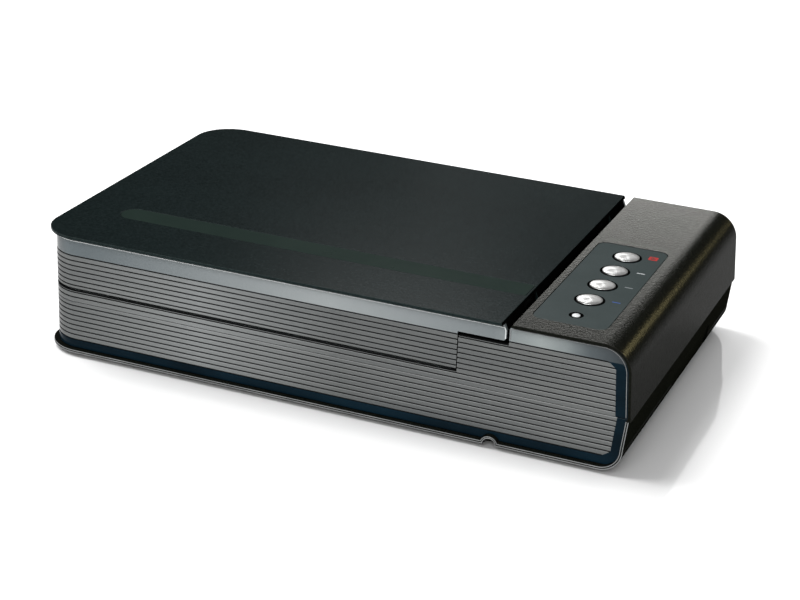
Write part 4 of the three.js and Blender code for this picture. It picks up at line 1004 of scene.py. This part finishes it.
def build_beads():
    """Thin bright edge lines, painted highlights where the glossy band meets the black mouldings."""
    inset, edge = WALL_INSET - BEAD_PROUD, 0.7
    level = TOP - PLATE - SEEN_DOWN - 0.3
    foot = TONGUE_BOTTOM + 1.6
    slope = (LID_RIGHT - LID_TOP_RIGHT) / (TOP - LID_CHAMFER_Z)
    around = bead_round_plan(level, LID_TOP_RIGHT + (TOP - level) * slope - edge, inset)
    rear, front = [
        [(LID_RIGHT - edge, y, LID_CHAMFER_Z), (LID_RIGHT - edge, y, foot)]
        for y in (around[0][1], around[-1][1])
    ]
    band_bead("bead_lid_top", rear[::-1] + around + front, "lid", BEAD_R, "bead")

    steps, z_from, z_to = 46, TOP - SKIN - 0.3, SEAM + 3
    heights = [z_from + (z_to - z_from) * i / steps for i in range(steps + 1)]
    corner = [(shell_inside(z) - SEEN_IN - 0.35, z - SEEN_DOWN) for z in heights]
    for side, end in ((-1, "front"), (1, "rear")):
        y = side * (HALF_D - inset)
        line = [(COVER_LEFT + edge, y, foot), (COVER_LEFT + edge, y, COVER_CHAMFER_Z),
                (COVER_TOP_LEFT + edge, y, level)]
        line += [(x, y, z) for x, z in corner if x > COVER_TOP_LEFT + 2 * edge]
        band_bead(f"bead_upper_{end}", line, "base", LINE_R, "lip")


def build_lip_lines():
    """Two fine light lines round the edge of the lower case, arched over the notch in front: painted
    highlights on that edge.
    """
    y = HALF_D - LINE_R - 0.02
    outer, inner = (0.4, NOTCH_R + 0.45), (SKIN - 0.35, NOTCH_RIM_R - 0.3)
    for name, (inset, arch) in (("outer", outer), ("inner", inner)):
        edge = offset_path(lower_path(), inset)[:-1]
        level = BOTTOM + inset
        tilt = degrees(asin(inset / arch))
        over = arc(NOTCH_X, BOTTOM, arch, 180 - tilt, tilt, 20)
        plan = bead_round_plan(level, BOTTOM_CORNER_X - 1, HALF_D - y)
        path = [(x, y, z) for x, z in edge] + plan[:-1]
        path += [(x, -y, z) for x, z in over + edge[::-1]]
        band_bead(f"case_lip_{name}", path, "base", LINE_R, "lip")


# ---------- controls

def crown(radius, rise, base, first, step):
    """Half profile of a low dome, from its rim at an angle of `first` degrees up."""
    turns = [radians(a) for a in range(first, 90, step)]
    return [(radius * cos(a), base + rise * sin(a)) for a in turns]


def build_buttons():
    stem, flange, cap_r = 2.5, 10.4, 9.1
    cap_profile = [(0, -7), (stem, -7), (stem, -3.9), (flange, -3.9), (flange, -2.6),
                   (cap_r, -2.6), (cap_r, 0.2)] + crown(cap_r, 0.98, 0.3, 12, 6) + [(0, 1.28)]
    ring_profile = [(9.75, -2.0), (9.75, 0.0), (9.9, 0.12), (10.5, 0.16), (10.75, 0.0),
                    (10.75, -0.4), (9.95, -0.5), (9.95, -2.0), (9.75, -2.0)]
    for number, (x, y) in enumerate(BUTTON_XY, 1):
        cap = lathe(f"push_button_{number}", cap_profile, (x, y, TOP), 96)
        smooth(cap, 50)
        fit(cap, "metal", f"button_{number}", f"button_{number}")
        ring = lathe(f"button_ring_{number}", ring_profile, (x, y, TOP), 96)
        smooth(ring, 50)
        # the ring round each button is coloured dark as painted shade
        fit(ring, "gap", "base")


def build_indicator():
    """A small clear dome in a dished ring coloured dark as painted shade."""
    stem, flange, dome_r = 2, 5.2, 2.8
    profile = [(0, -7), (stem, -7), (stem, -3.5), (flange, -3.5), (flange, -2.6),
               (dome_r, -2.6)] + crown(dome_r, 0.9, -0.2, 0, 9) + [(0, 0.7)]
    lens = lathe("indicator_dome", profile, (*LED_XY, TOP))
    smooth(lens, 50)
    fit(lens, "lens", "base", "led_lens")
    ring_profile = [(3.1, -2.0), (3.1, -0.4), (3.5, -0.2), (4.9, 0.05), (5.1, -0.05),
                    (5.1, -0.4), (4.5, -0.5), (4.5, -2.0), (3.1, -2.0)]
    ring = lathe("indicator_ring", ring_profile, (*LED_XY, TOP))
    smooth(ring, 50)
    fit(ring, "gap", "base")


def build_marks():
    """Plain printed marks beside the buttons, with no lettering."""
    face, printed_on, drawn_on = OVERLAY_TOP - 0.01, 0.06, 0.09
    mark_x, half_field, half_bar, bar_r = 190.8, 3.4, 3, 0.55

    def printed(name, outline, look):
        made = prism(name, outline, "z", face, face + printed_on)
        smooth(made)
        fit(made, look, "base")

    y = BUTTON_XY[0][1] + 6.5
    field = rounded_rectangle(mark_x - half_field, mark_x + half_field,
                              y - half_field, y + half_field, 1.2, 8)
    printed("mark_page_field", field, "mark_red")
    left, half_line = mark_x - 1.8, 0.35
    for i, (dy, length) in enumerate([(-1.6, 3.6), (0.0, 3.6), (1.6, 2.2)], 1):
        low, high = y + dy - half_line, y + dy + half_line
        line = rounded_rectangle(left, left + length, low, high, 0.3, 5)
        made = prism(f"mark_page_line_{i}", line, "z", face + 0.05, face + drawn_on)
        fit(made, "overlay", "base")
    for number, look in ((2, "mark_white"), (3, "mark_grey"), (4, "mark_blue")):
        y = BUTTON_XY[number - 1][1] + 4
        bar = rounded_rectangle(mark_x - half_bar, mark_x + half_bar, y - bar_r, y + bar_r, 0.5, 6)
        printed(f"mark_bar_{number}", bar, look)


# ---------- underside

def build_feet():
    for end in ("front_left", "rear_left", "front_right", "rear_right"):
        node = f"foot_{end}"
        high = box_mm(node)[1]
        profile = [(0, 0), (5.6, 0), (5.9, 0.35), (6.3, 0.35), (6.6, 0), (7.3, 0.1), (7.8, 0.6),
                   (8, 1.2), (8, high.z), (0, high.z)]
        pad = lathe(f"rubber_{end}", profile, (*middle_xy(node), 0))
        smooth(pad, 40)
        fit(pad, "rubber", "base", node)


def build_screws():
    long, narrow, deep = 1.9, 0.35, 2  # the head's cross, as half sizes and a height
    for i in range(1, 5):
        node = f"case_screw_{i}"
        x, y = middle_xy(node)
        high = box_mm(node)[1]
        head = [(0, 1.0), (2.4, 1.0), (3.2, 1.3), (3.6, 1.9), (3.6, 2.9), (1.8, 2.9),
                (1.8, high.z - 0.6), (0, high.z)]
        screw = lathe(f"screw_{i}", head, (x, y, 0), 48)
        for half_x, half_y in ((long, narrow), (narrow, long)):
            combine(screw, block("cross", x - half_x, x + half_x, y - half_y, y + half_y, 0, deep))
        smooth(screw, 40)
        fit(screw, "steel", "base", node)


# ---------- nodes kept from the CAD

UNBEVELLED = ("idler_spring", "drive_belt", "ribbon_cable", "pad_sheet")


def dress_kept_nodes():
    """CAD nodes that no piece stands for get the look of their slot in the record; the platen deck
    gets a near-black look instead, as painted shade.
    """
    for part in frame["record"]["subparts"]:
        name = part["node"]
        if name in replaced:
            continue
        dress(frame["nodes"][name], "deck" if name == "platen_deck" else part["material_slot"])
        if name not in UNBEVELLED:
            add_bevel(frame["nodes"][name], 0.2)


# ---------- stage

def see_through(tree):
    """The floor hides nothing when it is looked at from underneath."""
    side = add_node(tree, "ShaderNodeNewGeometry").outputs["Backfacing"]
    clear = add_node(tree, "ShaderNodeBsdfTransparent").outputs[0]
    solid = tree.nodes["Principled BSDF"].outputs[0]
    mix = add_node(tree, "ShaderNodeMixShader", {0: side, 1: solid, 2: clear})
    feed(tree.nodes["Material Output"], {"Surface": mix.outputs[0]})


def build_floor():
    size = 6000
    corners = [(-size, -size, 0), (size, -size, 0), (size, size, 0), (-size, size, 0)]
    floor = mesh_object("floor", corners, [(0, 1, 2, 3)])
    paint = bpy.data.materials.new("floor")
    paint.use_nodes = True
    feed(paint.node_tree.nodes["Principled BSDF"],
         {"Base Color": (0.88, 0.88, 0.88, 1), "Roughness": 0.06, "Specular IOR Level": 0.8})
    see_through(paint.node_tree)
    floor.data.materials.append(paint)
    return floor


def build_world():
    """Even white surroundings: full for the camera, dim as light, and dimmest in reflections."""
    ambient, mirrored, seen = 0.45, 0.05, 1.0
    world = bpy.data.worlds.new("studio")
    bpy.context.scene.world = world
    world.use_nodes = True
    tree = world.node_tree
    path = tree.nodes.new("ShaderNodeLightPath")

    def choose(flag, otherwise, value):
        """One value for one kind of ray, and otherwise a number or another choice."""
        inputs = {"Value": path.outputs[flag], "To Min": otherwise, "To Max": value}
        return add_node(tree, "ShaderNodeMapRange", inputs).outputs[0]

    strength = choose("Is Camera Ray", choose("Is Glossy Ray", ambient, mirrored), seen)
    feed(tree.nodes["Background"], {"Color": (1, 1, 1, 1), "Strength": strength})


def add_light(name, kind, place, power):
    """A light in metres, aimed at the origin."""
    data = bpy.data.lights.new(name, kind)
    data.energy = power
    made = new_object(name, data)
    made.location = place
    made.rotation_euler = (-Vector(place)).to_track_quat("-Z", "Y").to_euler()
    return made


def sun(name, place, power):
    """Soft parallel light from the direction of a place."""
    made = add_light(name, "SUN", place, power)
    made.data.angle = radians(35)
    return made


def softbox(name, azimuth, elevation, distance, width, height, radiance, colour=(1, 1, 1)):
    """A rectangle seen from the origin at an azimuth from +Y towards +X.

    Its place, width and height are in degrees, and its distance is in metres.
    """
    a, e = radians(azimuth), radians(elevation)
    place = (distance * sin(a) * cos(e), distance * cos(a) * cos(e), distance * sin(e))
    wide = 2 * distance * tan(radians(width / 2))
    high = 2 * distance * tan(radians(height / 2))
    made = add_light(name, "AREA", place, pi * wide * high * radiance)
    made.data.color = colour
    made.data.shape = "RECTANGLE"
    made.data.size, made.data.size_y = wide, high
    return made


def shine_only_on(light, *pieces):
    receivers = bpy.data.collections.new(light.name + "_receivers")
    for piece in pieces:
        receivers.objects.link(piece)
    light.light_linking.receiver_collection = receivers


def build_light(floor):
    """The studio: suns for the object and for the floor, and softboxes for single highlights."""
    key = sun("key", (-0.4, -1.7, 1.7), 2.75)
    under = sun("under", (0.05, 0, -2), 1.6)
    not_floor = bpy.data.collections.new("all_but_floor")
    not_floor.objects.link(floor)
    not_floor.collection_objects[0].light_linking.link_state = "EXCLUDE"
    key.light_linking.receiver_collection = not_floor
    under.light_linking.receiver_collection = not_floor
    under.light_linking.blocker_collection = not_floor
    shine_only_on(sun("floor_key", (-1.5, 0.0, 2.4), 3.2), floor)
    shine_only_on(sun("floor_fill", (0.2, -1.7, 1.2), 0.9), floor)
    shells = [bpy.data.objects[name] for name in ("control_shell", "case_tray")]
    shine_only_on(softbox("back", -9, 16, 3, 18, 12, 9, (1.0, 1.0, 0.95)), *shells)
    softbox("lid_glow", -22, 33, 3, 9, 4, 14)
    softbox("lid_wide", -15, 19, 3, 12, 5, 0.5)
    shine_only_on(softbox("warm", 34, 20, 3, 12, 10, 19, (1.0, 0.86, 0.42)), *shells)
    shine_only_on(softbox("floor_sheen", -20, 30, 5, 80, 50, 1.3), floor)
    caps = [bpy.data.objects[f"push_button_{number}"] for number in range(1, 5)]
    shine_only_on(softbox("cap_fill", -20, 50, 2, 130, 100, 0.22), *caps)
    shine_only_on(softbox("cap_streak", -20, 24, 2, 30, 10, 1.0), *caps)


def build_camera():
    yaw, pitch, roll = -0.381, 0.401, 0.042
    focal_px, image_width, sensor = 2000.394, 800, 36
    place = Vector((0.52133, -1.291688, 0.619549 + BOTTOM * MM))
    look = Vector((sin(yaw) * cos(pitch), cos(yaw) * cos(pitch),
                   -sin(pitch)))
    level = Vector((cos(yaw), -sin(yaw), 0))
    upright = level.cross(look)
    right = cos(roll) * level + sin(roll) * upright
    up = cos(roll) * upright - sin(roll) * level
    data = bpy.data.cameras.new("camera")
    data.sensor_width = sensor
    data.lens = focal_px * sensor / image_width
    data.clip_start, data.clip_end = 0.05, 50
    camera = bpy.data.objects.new("camera", data)
    bpy.context.scene.collection.objects.link(camera)
    turn = Matrix((right, up, -look)).transposed().to_4x4()
    camera.matrix_world = Matrix.Translation(place) @ turn
    bpy.context.scene.camera = camera


build_lower_case()
build_cover()
build_overlay()
build_lid_cover()
build_inlay()
build_walls()
build_beads()
build_lip_lines()
build_buttons()
build_indicator()
build_marks()
build_feet()
build_screws()
dress_kept_nodes()
build_world()
build_light(build_floor())
build_camera()
bpy.context.scene.view_settings.view_transform = "Standard"
